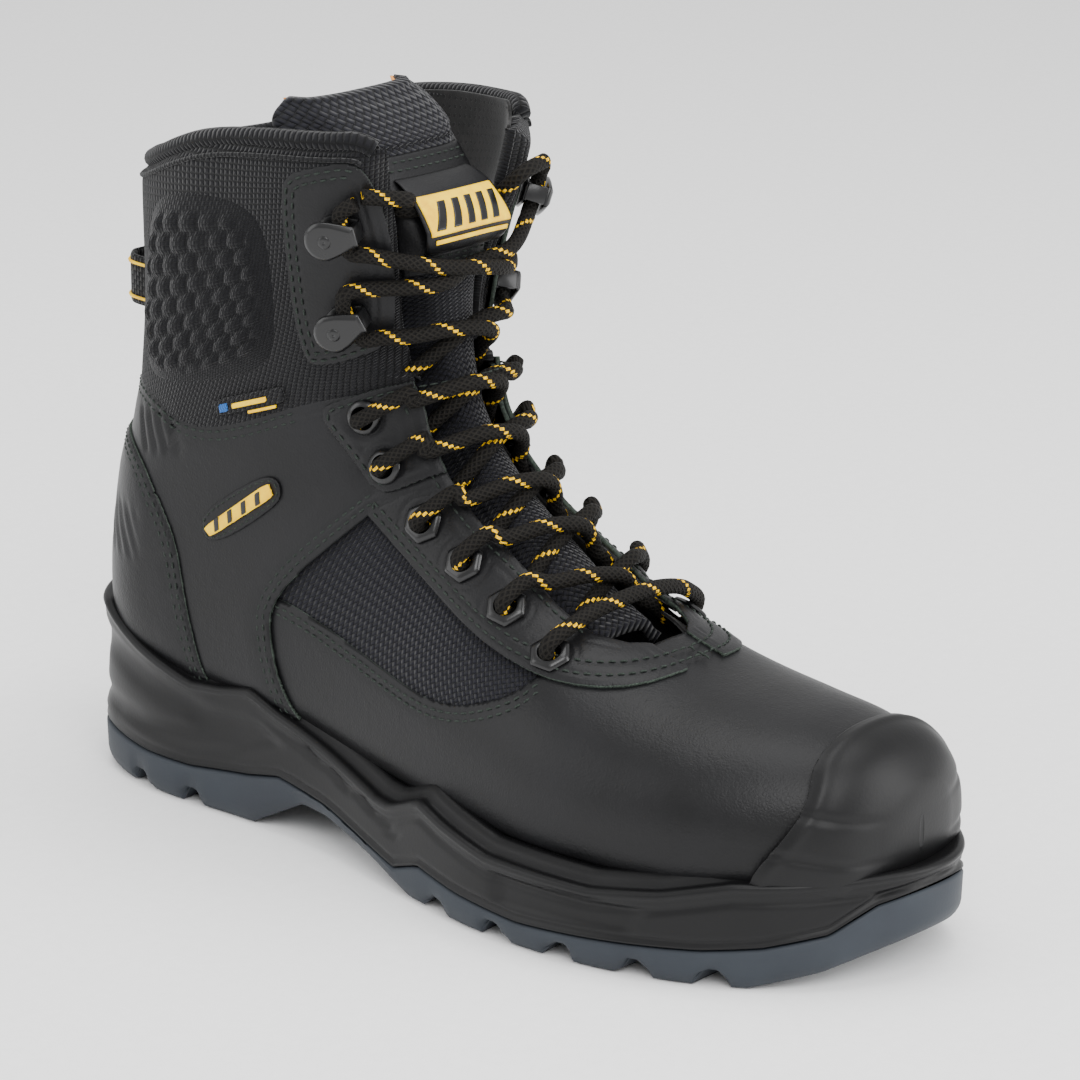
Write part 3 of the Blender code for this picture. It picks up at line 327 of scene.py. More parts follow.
def mesh_object(name, points, faces, look, uv=None, smooth=True, keep_mm=False):
    mesh = bpy.data.meshes.new(name)
    points = np.asarray(points, float)
    world = points if keep_mm else (points - HEEL_BACK) * MM
    mesh.from_pydata(world.tolist(), [], faces)
    if uv is not None:
        layer = mesh.uv_layers.new(name="UVMap")
        index = np.empty(len(mesh.loops), np.int32)
        mesh.loops.foreach_get("vertex_index", index)
        layer.data.foreach_set("uv", np.asarray(uv, float)[index].astype(np.float32).ravel())
    if smooth:
        mesh.polygons.foreach_set("use_smooth", np.ones(len(mesh.polygons), bool))
    mesh.update()
    obj = bpy.data.objects.new(name, mesh)
    bpy.context.scene.collection.objects.link(obj)
    for each in look if isinstance(look, (list, tuple)) else [look]:
        mesh.materials.append(each)
    return obj


def face_outwards(obj):
    work = bmesh.new()
    work.from_mesh(obj.data)
    bmesh.ops.remove_doubles(work, verts=work.verts, dist=1e-6)
    bmesh.ops.recalc_face_normals(work, faces=work.faces)
    if work.calc_volume(signed=True) < 0:
        bmesh.ops.reverse_faces(work, faces=work.faces)
    work.to_mesh(obj.data)
    work.free()
    return obj


def put(obj, body, slot, *nodes):
    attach(obj, body)
    if nodes:
        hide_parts(*nodes)
    return obj


def clipped(distance, quads, carried):
    """Keeps the part of a quad sheet where distance < 0; carried arrays are read on the new edge too."""
    inside = distance < 0
    count = inside[quads].sum(1)
    whole = quads[count == 4]
    mixed = quads[(count > 0) & (count < 4)]
    triangles = np.concatenate([mixed[:, [0, 1, 2]], mixed[:, [0, 2, 3]]])
    made, extra, faces = {}, [], [tuple(q) for q in whole.tolist()]

    def crossing(i, j):
        key = (min(i, j), max(i, j))
        if key not in made:
            i, j = key
            f = distance[i] / (distance[i] - distance[j])
            made[key] = len(distance) + len(extra)
            extra.append((i, j, min(max(f, 0.02), 0.98)))
        return made[key]

    for tri in triangles.tolist():
        marks = [bool(inside[v]) for v in tri]
        if all(marks):
            faces.append(tuple(tri))
        elif any(marks):
            polygon = []
            for k in range(3):
                i, j = tri[k], tri[(k + 1) % 3]
                if inside[i]:
                    polygon.append(i)
                if inside[i] != inside[j]:
                    polygon.append(crossing(i, j))
            faces.append(tuple(polygon))
    if extra:
        i, j, f = (np.array(column) for column in zip(*extra))
        carried = [np.concatenate([c, c[i] + (c[j] - c[i]) * (f if c.ndim == 1 else f[:, None])]) for c in carried]
    used = np.unique(np.concatenate([np.array(face) for face in faces])) if faces else np.array([], int)
    renumber = np.full(len(carried[0]), -1)
    renumber[used] = np.arange(len(used))
    faces = [tuple(int(renumber[v]) for v in face) for face in faces]
    return faces, [c[used] for c in carried]


def sheet_of_upper(region, shape, step=(0.07, 0.019)):
    """A fine sheet of the fan surface where shape(x, y, z, u, angle) is negative."""
    u0, u1, a0, a1 = region
    lines = np.linspace(u0, u1, max(8, int((u1 - u0) / step[0])))
    turns = np.linspace(a0, a1, max(12, int((a1 - a0) / step[1])))
    u, angle = (g.ravel() for g in np.meshgrid(lines, turns, indexing="ij"))
    points = fan_point(u, angle)
    distance = shape(points[:, 0], points[:, 1], points[:, 2], u, angle)
    rows, columns = len(lines), len(turns)
    base = (np.arange(rows - 1)[:, None] * columns + np.arange(columns - 1)[None]).ravel()
    quads = np.stack([base, base + 1, base + columns + 1, base + columns], -1)
    faces, (u, angle, distance) = clipped(distance, quads, [u, angle, distance])
    return faces, u, angle, distance


def edge_softness(distance, depth=0.5, reach=0.9):
    return -depth * np.exp(-np.square(distance / reach))


def stitch_groove(distance, *insets):
    return sum(-0.28 * np.exp(-np.square((-distance - inset) / 0.55)) for inset in insets)


def panel(name, look, region, shape, top, thick, relief=None, row=15.0, step=(0.07, 0.019), edge=True):
    """One panel: its sheet lifted to the layer's top face, then given its thickness inwards."""
    faces, u, angle, distance = sheet_of_upper(region, shape, step)
    points = fan_point(u, angle)
    height = np.full(len(u), float(top)) + (edge_softness(distance) if edge else 0.0)
    if relief:
        height = height + relief(distance, points[:, 0], points[:, 1], points[:, 2], u, angle)
    obj = mesh_object(name, lifted(u, angle, height), faces, look, ruler(u, angle, row) / 10.0)
    wall = obj.modifiers.new("thickness", "SOLIDIFY")
    wall.thickness = thick * MM
    wall.offset = -1.0
    wall.use_rim = True
    if isinstance(look, (list, tuple)) and len(look) > 1:
        wall.material_offset_rim = 1
    apply_modifiers(obj)
    return obj


def apply_modifiers(obj):
    bpy.ops.object.select_all(action="DESELECT")
    bpy.context.view_layer.objects.active = obj
    obj.select_set(True)
    for each in list(obj.modifiers):
        bpy.ops.object.modifier_apply(modifier=each.name)
    obj.select_set(False)


def side_shape(outline, throat=None, holes=(), margin=0.0):
    """A shape for sheet_of_upper: an outline seen from the side, less the lacing gap and the lace holes."""
    def shape(x, y, z, u, angle):
        distance = outline_distance(outline, x, z)
        if throat is not None:
            gap = np.where(np.cos(angle) < 0, through(throat, u) + margin - np.abs(y), -50.0)
            distance = np.maximum(distance, gap)
        for centre, radius in holes:
            away = np.sqrt((x - centre[0])**2 + (y - centre[1])**2 + (z - centre[2])**2)
            distance = np.maximum(distance, radius - away)
        return distance
    return shape


def tube(name, line, radius, look, sides=14):
    """A round tube along a line, with its length in millimetres and its turn as UV."""
    line = np.asarray(line, float)
    tangent = np.gradient(line, axis=0)
    tangent /= np.linalg.norm(tangent, axis=1)[:, None]
    side = np.cross(tangent[0], (0.3, 0.2, 1.0))
    side /= np.linalg.norm(side)
    lengths = np.concatenate([[0], np.cumsum(np.linalg.norm(np.diff(line, axis=0), axis=1))])
    points, uv = [], []
    radii = np.broadcast_to(radius, len(line))
    for i, (p, t) in enumerate(zip(line, tangent)):
        side = side - t * (side @ t)
        side /= np.linalg.norm(side)
        other = np.cross(t, side)
        for k in range(sides + 1):
            a = 2 * math.pi * k / sides
            points.append(p + (side * math.cos(a) + other * math.sin(a)) * radii[i])
            uv.append((lengths[i] / 10.0, k / sides))
    wide = sides + 1
    faces = [(i * wide + k, i * wide + k + 1, (i + 1) * wide + k + 1, (i + 1) * wide + k)
             for i in range(len(line) - 1) for k in range(sides)]
    obj = mesh_object(name, points, faces, look, uv)
    work = bmesh.new()
    work.from_mesh(obj.data)
    bmesh.ops.remove_doubles(work, verts=work.verts, dist=1e-6)
    rims = [e for e in work.edges if e.is_boundary]
    bmesh.ops.holes_fill(work, edges=rims, sides=0)
    bmesh.ops.recalc_face_normals(work, faces=work.faces)
    if work.calc_volume(signed=True) < 0:
        bmesh.ops.reverse_faces(work, faces=work.faces)
    work.to_mesh(obj.data)
    work.free()
    obj.data.polygons.foreach_set("use_smooth", np.ones(len(obj.data.polygons), bool))
    return obj


def flowing(points, spacing):
    """A smooth line through the points, read at even steps."""
    points = np.asarray(points, float)
    t = np.linspace(0, len(points) - 1, len(points) * 14)
    ends = np.vstack([2 * points[0] - points[1], points, 2 * points[-1] - points[-2]])
    dense = smooth_rows(ends, t + 1)
    lengths = np.concatenate([[0], np.cumsum(np.linalg.norm(np.diff(dense, axis=0), axis=1))])
    at = np.linspace(0, lengths[-1], max(4, int(lengths[-1] / spacing)))
    return np.stack([np.interp(at, lengths, dense[:, k]) for k in range(3)], -1)


# ---------------------------------------------------------------- materials

def srgb(r, g, b):
    return tuple(((c / 255 + 0.055) / 1.055) ** 2.4 if c > 10 else c / 255 / 12.92 for c in (r, g, b)) + (1.0,)


class Finish:
    """A Principled material with short words for adding nodes."""

    def __init__(self, name, colour, roughness, metallic=0.0, specular=0.5):
        self.material = bpy.data.materials.new(name)
        self.material.use_nodes = True
        self.tree = self.material.node_tree
        self.shader = self.tree.nodes["Principled BSDF"]
        self.shader.inputs["Base Color"].default_value = colour
        self.shader.inputs["Roughness"].default_value = roughness
        self.shader.inputs["Metallic"].default_value = metallic
        self.shader.inputs["Specular IOR Level"].default_value = specular * 0.5
        self.colour = colour
        self.coordinates = self.tree.nodes.new("ShaderNodeTexCoord")
        self.height = None

    def link(self, a, b):
        self.tree.links.new(a, b)

    def maths(self, operation, a, b=None, c=None, clamp=False):
        node = self.tree.nodes.new("ShaderNodeMath")
        node.operation = operation
        node.use_clamp = clamp
        for socket, value in zip(node.inputs, (a, b, c)):
            if value is None:
                continue
            if isinstance(value, (int, float)):
                socket.default_value = value
            else:
                self.link(value, socket)
        return node.outputs[0]

    def noise(self, scale, detail=3.0, where="Object", roughness=0.55):
        node = self.tree.nodes.new("ShaderNodeTexNoise")
        node.inputs["Scale"].default_value = scale
        node.inputs["Detail"].default_value = detail
        node.inputs["Roughness"].default_value = roughness
        self.link(self.coordinates.outputs[where], node.inputs["Vector"])
        return node.outputs["Fac"]

    def cells(self, scale, where="UV", feature="F1", randomness=1.0):
        node = self.tree.nodes.new("ShaderNodeTexVoronoi")
        node.feature = feature
        node.inputs["Scale"].default_value = scale
        node.inputs["Randomness"].default_value = randomness
        self.link(self.coordinates.outputs[where], node.inputs["Vector"])
        return node.outputs["Distance"]

    def axes(self, where="UV"):
        node = self.tree.nodes.new("ShaderNodeSeparateXYZ")
        self.link(self.coordinates.outputs[where], node.inputs[0])
        return node.outputs

    def raise_by(self, height, strength, distance):
        """Adds a bump; distance is the height in millimetres."""
        node = self.tree.nodes.new("ShaderNodeBump")
        node.inputs["Strength"].default_value = strength
        node.inputs["Distance"].default_value = distance * MM
        self.link(height, node.inputs["Height"])
        if self.height:
            self.link(self.height, node.inputs["Normal"])
        self.height = node.outputs["Normal"]
        self.link(self.height, self.shader.inputs["Normal"])

    def tint(self, factor, low, high, low_at=0.35, high_at=0.65):
        node = self.tree.nodes.new("ShaderNodeValToRGB")
        node.color_ramp.elements[0].position = low_at
        node.color_ramp.elements[0].color = low
        node.color_ramp.elements[1].position = high_at
        node.color_ramp.elements[1].color = high
        self.link(factor, node.inputs["Fac"])
        return node.outputs["Color"]

    def paint(self, colour):
        self.link(colour, self.shader.inputs["Base Color"])

    def gloss(self, factor, low, high):
        node = self.tree.nodes.new("ShaderNodeMapRange")
        node.inputs["To Min"].default_value = low
        node.inputs["To Max"].default_value = high
        self.link(factor, node.inputs["Value"])
        self.link(node.outputs["Result"], self.shader.inputs["Roughness"])

    def mix(self, factor, a, b):
        node = self.tree.nodes.new("ShaderNodeMix")
        node.data_type = "RGBA"
        self.link(factor, node.inputs[0])
        for socket, value in ((node.inputs[6], a), (node.inputs[7], b)):
            if isinstance(value, tuple):
                socket.default_value = value
            else:
                self.link(value, socket)
        return node.outputs[2]


def leather_finish(name="black leather", base=(13, 13, 14), light=(21, 21, 23)):
    f = Finish(name, srgb(*base), 0.42, specular=0.45)
    grain = f.cells(900.0, "Object", "DISTANCE_TO_EDGE")
    mottle = f.noise(28.0, 4.0)
    f.paint(f.tint(mottle, srgb(*base), srgb(*light), 0.3, 0.75))
    f.gloss(mottle, 0.34, 0.52)
    f.raise_by(grain, 0.3, 0.3)
    f.raise_by(f.noise(420.0, 5.0), 0.3, 0.4)
    f.raise_by(f.noise(35.0, 2.0), 0.12, 1.2)
    return f.material


def cut_edge_finish():
    f = Finish("raw cut edge", srgb(52, 60, 54), 0.8)
    fibre = f.noise(1500.0, 4.0)
    f.paint(f.tint(fibre, srgb(36, 42, 38), srgb(66, 76, 68)))
    f.raise_by(fibre, 0.5, 0.3)
    return f.material


def weave_finish(name, pitch, base, light, depth=0.35, turned=True, roughness=0.8):
    """Plain weave on the UV map, whose unit is a centimetre; pitch is in millimetres."""
    f = Finish(name, srgb(*base), roughness, specular=0.3)
    x, y = f.axes()[:2]
    k = 10.0 / pitch
    if turned:
        a, b = f.maths("ADD", x, y), f.maths("SUBTRACT", x, y)
        k *= 0.7071
    else:
        a, b = x, y
    a, b = f.maths("MULTIPLY", a, k), f.maths("MULTIPLY", b, k)
    across = f.maths("ABSOLUTE", f.maths("SINE", f.maths("MULTIPLY", a, math.pi)))
    along = f.maths("ABSOLUTE", f.maths("SINE", f.maths("MULTIPLY", b, math.pi)))
    cell = f.maths("ADD", f.maths("FLOOR", a), f.maths("FLOOR", b))
    odd = f.maths("ABSOLUTE", f.maths("MODULO", cell, 2.0))
    one = f.maths("MULTIPLY", across, f.maths("ADD", f.maths("MULTIPLY", along, 0.4), 0.6))
    two = f.maths("MULTIPLY", along, f.maths("ADD", f.maths("MULTIPLY", across, 0.4), 0.6))
    height = f.maths("ADD", f.maths("MULTIPLY", one, odd), f.maths("MULTIPLY", two, f.maths("SUBTRACT", 1.0, odd)))
    # painted shade: the weave's low parts are painted darker than its crowns, following the bump height
    f.paint(f.tint(height, srgb(*[c * 0.45 for c in base]), srgb(*light), 0.15, 0.95))
    f.raise_by(height, 0.9, depth)
    f.raise_by(f.noise(1800.0, 2.0), 0.25, 0.15)
    f.shader.inputs["Sheen Weight"].default_value = 0.15
    f.shader.inputs["Sheen Roughness"].default_value = 0.4
    return f.material


def honeycomb_finish():
    """Padded textile with small raised cells."""
    f = Finish("honeycomb textile", srgb(27, 27, 30), 0.85, specular=0.25)
    edge = f.cells(5.2, "UV", "DISTANCE_TO_EDGE", 0.15)
    rim = f.maths("MULTIPLY", edge, 3.0, clamp=True)
    # painted shade: the grooves round the raised cells are painted darker than the cell tops
    f.paint(f.tint(rim, srgb(7, 7, 8), srgb(19, 19, 22), 0.1, 0.8))
    f.raise_by(rim, 0.9, 0.5)
    f.raise_by(f.noise(2000.0, 2.0), 0.3, 0.15)
    f.shader.inputs["Sheen Weight"].default_value = 0.12
    return f.material


def perforated_finish(name, base, light):
    """Lining mesh with rows of small holes."""
    f = Finish(name, srgb(*base), 0.9, specular=0.2)
    x, y = f.axes()[:2]
    k = math.pi * 10.0 / 3.2
    dots = f.maths("MULTIPLY", f.maths("SINE", f.maths("MULTIPLY", f.maths("ADD", x, y), k)),
                   f.maths("SINE", f.maths("MULTIPLY", f.maths("SUBTRACT", x, y), k)))
    hole = f.maths("GREATER_THAN", dots, 0.55)
    # painted shade: the holes are painted near black for the shade inside them; the noise tint between them is random
    # tone
    f.paint(f.mix(hole, f.tint(f.noise(300.0), srgb(*base), srgb(*light)), srgb(5, 5, 6)))
    f.raise_by(f.maths("SUBTRACT", 1.0, hole), 0.8, 0.5)
    f.raise_by(f.noise(1800.0, 3.0), 0.4, 0.2)
    f.shader.inputs["Sheen Weight"].default_value = 0.2
    return f.material


def moulded_finish(name, base, light, roughness=(0.36, 0.5), grain=900.0, depth=0.12):
    f = Finish(name, srgb(*base), sum(roughness) / 2, specular=0.45)
    cloud = f.noise(45.0, 3.0)
    f.paint(f.tint(cloud, srgb(*base), srgb(*light), 0.3, 0.8))
    f.gloss(cloud, *roughness)
    f.raise_by(f.noise(grain, 3.0), 0.35, depth)
    return f.material


def metal_finish():
    f = Finish("black enamelled metal", srgb(12, 12, 13), 0.3, specular=0.7)
    f.gloss(f.noise(300.0, 3.0), 0.22, 0.38)
    f.shader.inputs["Coat Weight"].default_value = 0.15
    f.shader.inputs["Coat Roughness"].default_value = 0.15
    f.raise_by(f.noise(700.0, 3.0), 0.1, 0.1)
    return f.material


def thread_finish(name, colour, light):
    f = Finish(name, srgb(*colour), 0.7, specular=0.3)
    twist = f.noise(2500.0, 2.0)
    f.paint(f.tint(twist, srgb(*colour), srgb(*light)))
    f.raise_by(twist, 0.4, 0.15)
    return f.material


def lace_finish():
    """A round braid, whose yellow flecks climb round it in short steps."""
    f = Finish("lace braid", srgb(29, 27, 24), 0.78, specular=0.3)
    x, y = f.axes()[:2]
    steps = 12.0
    cell = f.maths("FLOOR", f.maths("MULTIPLY", y, steps))
    phase = f.maths("FRACT", f.maths("SUBTRACT", f.maths("MULTIPLY", x, 10.0 / 17.0),
                                     f.maths("DIVIDE", cell, steps)))
    band = f.maths("LESS_THAN", f.maths("ABSOLUTE", f.maths("SUBTRACT", phase, 0.5)), 0.045)
    inner = f.maths("LESS_THAN", f.maths("ABSOLUTE", f.maths("SUBTRACT", f.maths("FRACT",
                    f.maths("MULTIPLY", y, steps)), 0.5)), 0.38)
    fleck = f.maths("MULTIPLY", band, inner)
    rise = f.maths("MULTIPLY", x, 2 * math.pi * 10.0 / 2.2)
    turn = f.maths("MULTIPLY", y, 2 * math.pi * 8.0)
    left = f.maths("SINE", f.maths("ADD", rise, turn))
    right = f.maths("SINE", f.maths("SUBTRACT", rise, turn))
    braid = f.maths("ADD", f.maths("MULTIPLY", f.maths("MAXIMUM", left, right), 0.5), 0.5)
    # painted shade: the braid's low parts are painted darker, on the black strands and the yellow flecks alike
    strands = f.tint(braid, srgb(7, 6, 6), srgb(25, 23, 20), 0.2, 1.0)
    gold = f.tint(braid, srgb(186, 138, 0), srgb(244, 192, 0), 0.0, 0.7)
    f.paint(f.mix(fleck, strands, gold))
    f.raise_by(braid, 0.9, 0.45)
    f.raise_by(f.noise(2400.0, 2.0), 0.3, 0.15)
    return f.material


def plain_finish(name, colour, roughness, light=None, bump=0.1):
    f = Finish(name, srgb(*colour), roughness)
    cloud = f.noise(220.0, 3.0)
    f.paint(f.tint(cloud, srgb(*colour), srgb(*(light or [min(255, c * 1.15) for c in colour]))))
    f.raise_by(f.noise(1400.0, 3.0), 0.3, bump)
    return f.material


LOOK = {
    "leather": leather_finish(),
    "edge": cut_edge_finish(),
    "window": weave_finish("window weave", 1.9, (15, 15, 20), (24, 24, 31), 0.5),
    "tongue": weave_finish("tongue basket weave", 2.2, (15, 15, 19), (26, 26, 32), 0.6),
    "collar": honeycomb_finish(),
    "pad": weave_finish("pad knit", 1.3, (12, 12, 14), (19, 19, 22), 0.25, False),
    "lining": perforated_finish("perforated lining", (14, 14, 14), (25, 24, 24)),
    "orange": perforated_finish("orange lining", (222, 132, 34), (240, 160, 64)),
    "black sole": moulded_finish("black polyurethane", (10, 10, 11), (15, 15, 16)),
    "grey sole": moulded_finish("grey rubber", (40, 44, 50), (48, 53, 59), (0.5, 0.62), 1100.0, 0.15),
    "metal": metal_finish(),
    "grey thread": thread_finish("grey thread", (30, 35, 32), (50, 57, 52)),
    "lace": lace_finish(),
    "aglet": plain_finish("aglet plastic", (18, 18, 18), 0.25),
    "webbing": weave_finish("loop webbing", 1.5, (13, 13, 14), (24, 24, 26), 0.35, False),
    "yellow": plain_finish("moulded yellow", (238, 184, 0), 0.45),
    "blue": weave_finish("tag weave", 0.8, (29, 86, 168), (60, 120, 200), 0.1, False),
    "white": plain_finish("pale floor", (252, 252, 252), 0.8, (255, 255, 255)),
}

# ---------------------------------------------------------------- camera

AZIMUTH, ELEVATION, DISTANCE = math.radians(42.0), math.radians(17.0), 1330.0
TARGET = np.array([150.0, 0.0, 110.0])


def make_camera():
    data = bpy.data.cameras.new("camera")
    data.sensor_width = 36.0
    data.lens = 146.3
    data.shift_x = 0.0509
    data.shift_y = -0.0389
    data.clip_end = 50.0
    obj = bpy.data.objects.new("camera", data)
    bpy.context.scene.collection.objects.link(obj)
    out = np.array([math.sin(AZIMUTH) * math.cos(ELEVATION), -math.cos(AZIMUTH) * math.cos(ELEVATION),
                    math.sin(ELEVATION)])
    place = (TARGET + out * DISTANCE - HEEL_BACK) * MM
    obj.location = Vector(place)
    obj.rotation_euler = Vector(-out).to_track_quat("-Z", "Y").to_euler()
    bpy.context.scene.camera = obj


make_camera()

# ---------------------------------------------------------------- lace

STRAND_OVER = [(-20, LACE_INSIDE), (-15.5, LACE_INSIDE), (-11, -1.5), (-5, 1.9), (1, 3.0), (9, 3.0), (18.5, 3.5)]
STRAND_UNDER = [(-20, LACE_INSIDE), (-15.5, LACE_INSIDE), (-8, -3.3), (0, -2.6), (6, -2.0), (11, 1.0), (14.5, 3.2),
                (19.5, 3.6)]


def strand(start_u, end_u, side, profile, lift=0.0):
    points = []
    for y, height in profile:
        f = 0.5 + y / 62.0
        rise = lift * max(0.0, min(1.0, (y - 6.0) / 6.0))
        points.append(front_point(start_u + (end_u - start_u) * f, side * y, height + rise))
    return points


def around_hook(index, side):
    u, y = HOOKS[index]
    centre, away, up, out = local_frame(u, side * y, OVERLAY_TOP)
    corners = ((-7.5, -8.2, 3.6), (-2.4, -6.4, 4.6), (-1.6, -2.4, 4.9), (-1.6, 2.4, 4.9), (-2.4, 6.4, 4.6),
               (-7.5, 8.6, 3.9))
    return [centre + away * a + up * b + out * c for a, b, c in corners]


def through_eyelet(index, side):
    u, y = EYELETS[index]
    lift = 0.0 if index < HEX_EYELETS else TOP_LAYER_TOP - OVERLAY_TOP
    return [front_point(u, side * (y - 7.0), LACE_OVER + 0.3 + lift), front_point(u, side * y, LACE_OVER + lift),
            front_point(u, side * y, LACE_INSIDE)]


def lace_half(side):
    points = through_eyelet(0, side)
    for i in range(1, len(EYELETS)):
        side = -side
        lift = 0.0 if i < HEX_EYELETS else TOP_LAYER_TOP - OVERLAY_TOP
        profile = STRAND_OVER if side < 0 else STRAND_UNDER
        points += strand(EYELETS[i - 1][0], EYELETS[i][0], side, profile, lift) + through_eyelet(i, side)
    side = -side
    profile = STRAND_OVER if side < 0 else STRAND_UNDER
    points += strand(EYELETS[-1][0], HOOKS[0][0] - 0.6, side, profile) + around_hook(0, side)
    side = -side
    top = 4.6 if side < 0 else -0.9
    points += [front_point(14.85, -side * 14, 3.6), front_point(15.0, 0.0, top), front_point(15.35, side * 15, 3.6)]
    return points + around_hook(1, side), side


def lace_end(side):
    level = 16.62 if side < 0 else 15.98
    u, y = HOOKS[1]
    centre, away, up, out = local_frame(u, side * y, OVERLAY_TOP)
    start = centre + away * -10.0 + up * 10.2 + out * 3.4
    points = [start, front_point(17.1, side * 23.0, 1.2)]
    places = ((level + 0.22, 22.6), (level + 0.05, 20), (level, 17), (level, 10), (level, 3))
    points += [tongue_point(u, side * y, LACE_BEHIND_LABEL) for u, y in places]
    return points, [tongue_point(level, side * y, LACE_BEHIND_LABEL) for y in (2, -5, -12)]


def world(points):
    return (np.asarray(points) - HEEL_BACK) * MM


def make_lace():
    outer_half, _ = lace_half(-1)
    inner_half, _ = lace_half(1)
    u, _ = EYELETS[0]
    bar = [front_point(u, y, height) for y, height in ((-18, 4.3), (-7, 3.7), (7, 3.7), (18, 4.3))]
    line = flowing(outer_half[::-1] + bar + inner_half, 1.2)
    body = tube("lace_braid", line, LACE / 2, LOOK["lace"])
    put(body, "boot", "lace", "lace")
    for side, name in ((-1, "outer"), (1, "inner")):
        end, tip = lace_end(side)
        line = flowing(end, 1.2)
        piece = tube(f"lace_braid_end_{name}", line, LACE / 2, LOOK["lace"])
        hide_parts(f"lace_end_{name}")
        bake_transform(piece)
        line = flowing(tip, 1.2)
        piece = tube(f"aglet_tube_{name}", line, LACE / 2 - 0.3, LOOK["aglet"])
        put(piece, "tongue", "aglet", f"aglet_{name}")


make_lace()


# ---------------------------------------------------------------- stitching

def thread_runs(name, runs, look, body="boot", slot="leather", pitch=3.3, length=2.5, radius=0.36):
    """Short sunk stitches along runs of points, all in one mesh."""
    points, faces = [], []
    for line, normal in runs:
        lengths = np.concatenate([[0], np.cumsum(np.linalg.norm(np.diff(line, axis=0), axis=1))])
        if lengths[-1] < pitch:
            continue
        count = int(lengths[-1] / pitch)
        for k in range(count):
            middle = (k + 0.5) * lengths[-1] / count
            base = len(points)
            for j, (shift, size, sink) in enumerate(((-0.5, 0.35, -0.35), (-0.3, 0.95, 0.05), (0.0, 1.0, 0.18),
                                                     (0.3, 0.95, 0.05), (0.5, 0.35, -0.35))):
                at = middle + shift * length
                p = np.array([np.interp(at, lengths, line[:, c]) for c in range(3)])
                n = np.array([np.interp(at, lengths, normal[:, c]) for c in range(3)])
                n /= np.linalg.norm(n)
                q = np.array([np.interp(at + 0.2, lengths, line[:, c]) for c in range(3)])
                q0 = np.array([np.interp(at - 0.2, lengths, line[:, c]) for c in range(3)])
                t = (q - q0) / max(np.linalg.norm(q - q0), 1e-9)
                b = np.cross(t, n)
                for a in range(6):
                    turn = 2 * math.pi * a / 6
                    points.append(p + n * sink + (n * math.cos(turn) + b * math.sin(turn)) * radius * size)
                if j:
                    last, this = base + 6 * (j - 1), base + 6 * j
                    faces += [(last + a, last + (a + 1) % 6, this + (a + 1) % 6, this + a) for a in range(6)]
            faces.append(tuple(base + a for a in range(5, -1, -1)))
            faces.append(tuple(base + 24 + a for a in range(6)))
    obj = mesh_object(name, points, faces, look)
    face_outwards(obj)
    obj.data.polygons.foreach_set("use_smooth", np.ones(len(obj.data.polygons), bool))
    return put(obj, body, slot)


def side_run(outline, inset, start, end, side, level):
    """A stitch run that follows an outline on one side of the boot."""
    line = inset_line(outline, inset, np.array(start, float), np.array(end, float))
    u, angle = on_side(line[:, 0], line[:, 1], side)
    return lifted(u, angle, np.full(len(u), level)), fan_normal(u, angle)


def throat_run(u0, u1, inset, side, level, outline):
    u = np.linspace(u0, u1, 160)
    y = side * (through(THROAT, u) + inset)
    line = np.array([front_point(a, b, level) for a, b in zip(u, y)])
    kept = outline_distance(outline, line[:, 0], line[:, 2]) < -1.6
    return line[kept], fan_normal(u, front_angle(u, y))[kept]


# ---------------------------------------------------------------- upper

OUTER, INNER = (0.0, math.pi), (math.pi, 2 * math.pi)
SIDES = ((-1, "outer", OUTER), (1, "inner", INNER))


def hole_at(index, side, radius):
    u, y = EYELETS[index]
    return front_point(u, side * y, 0.0), radius


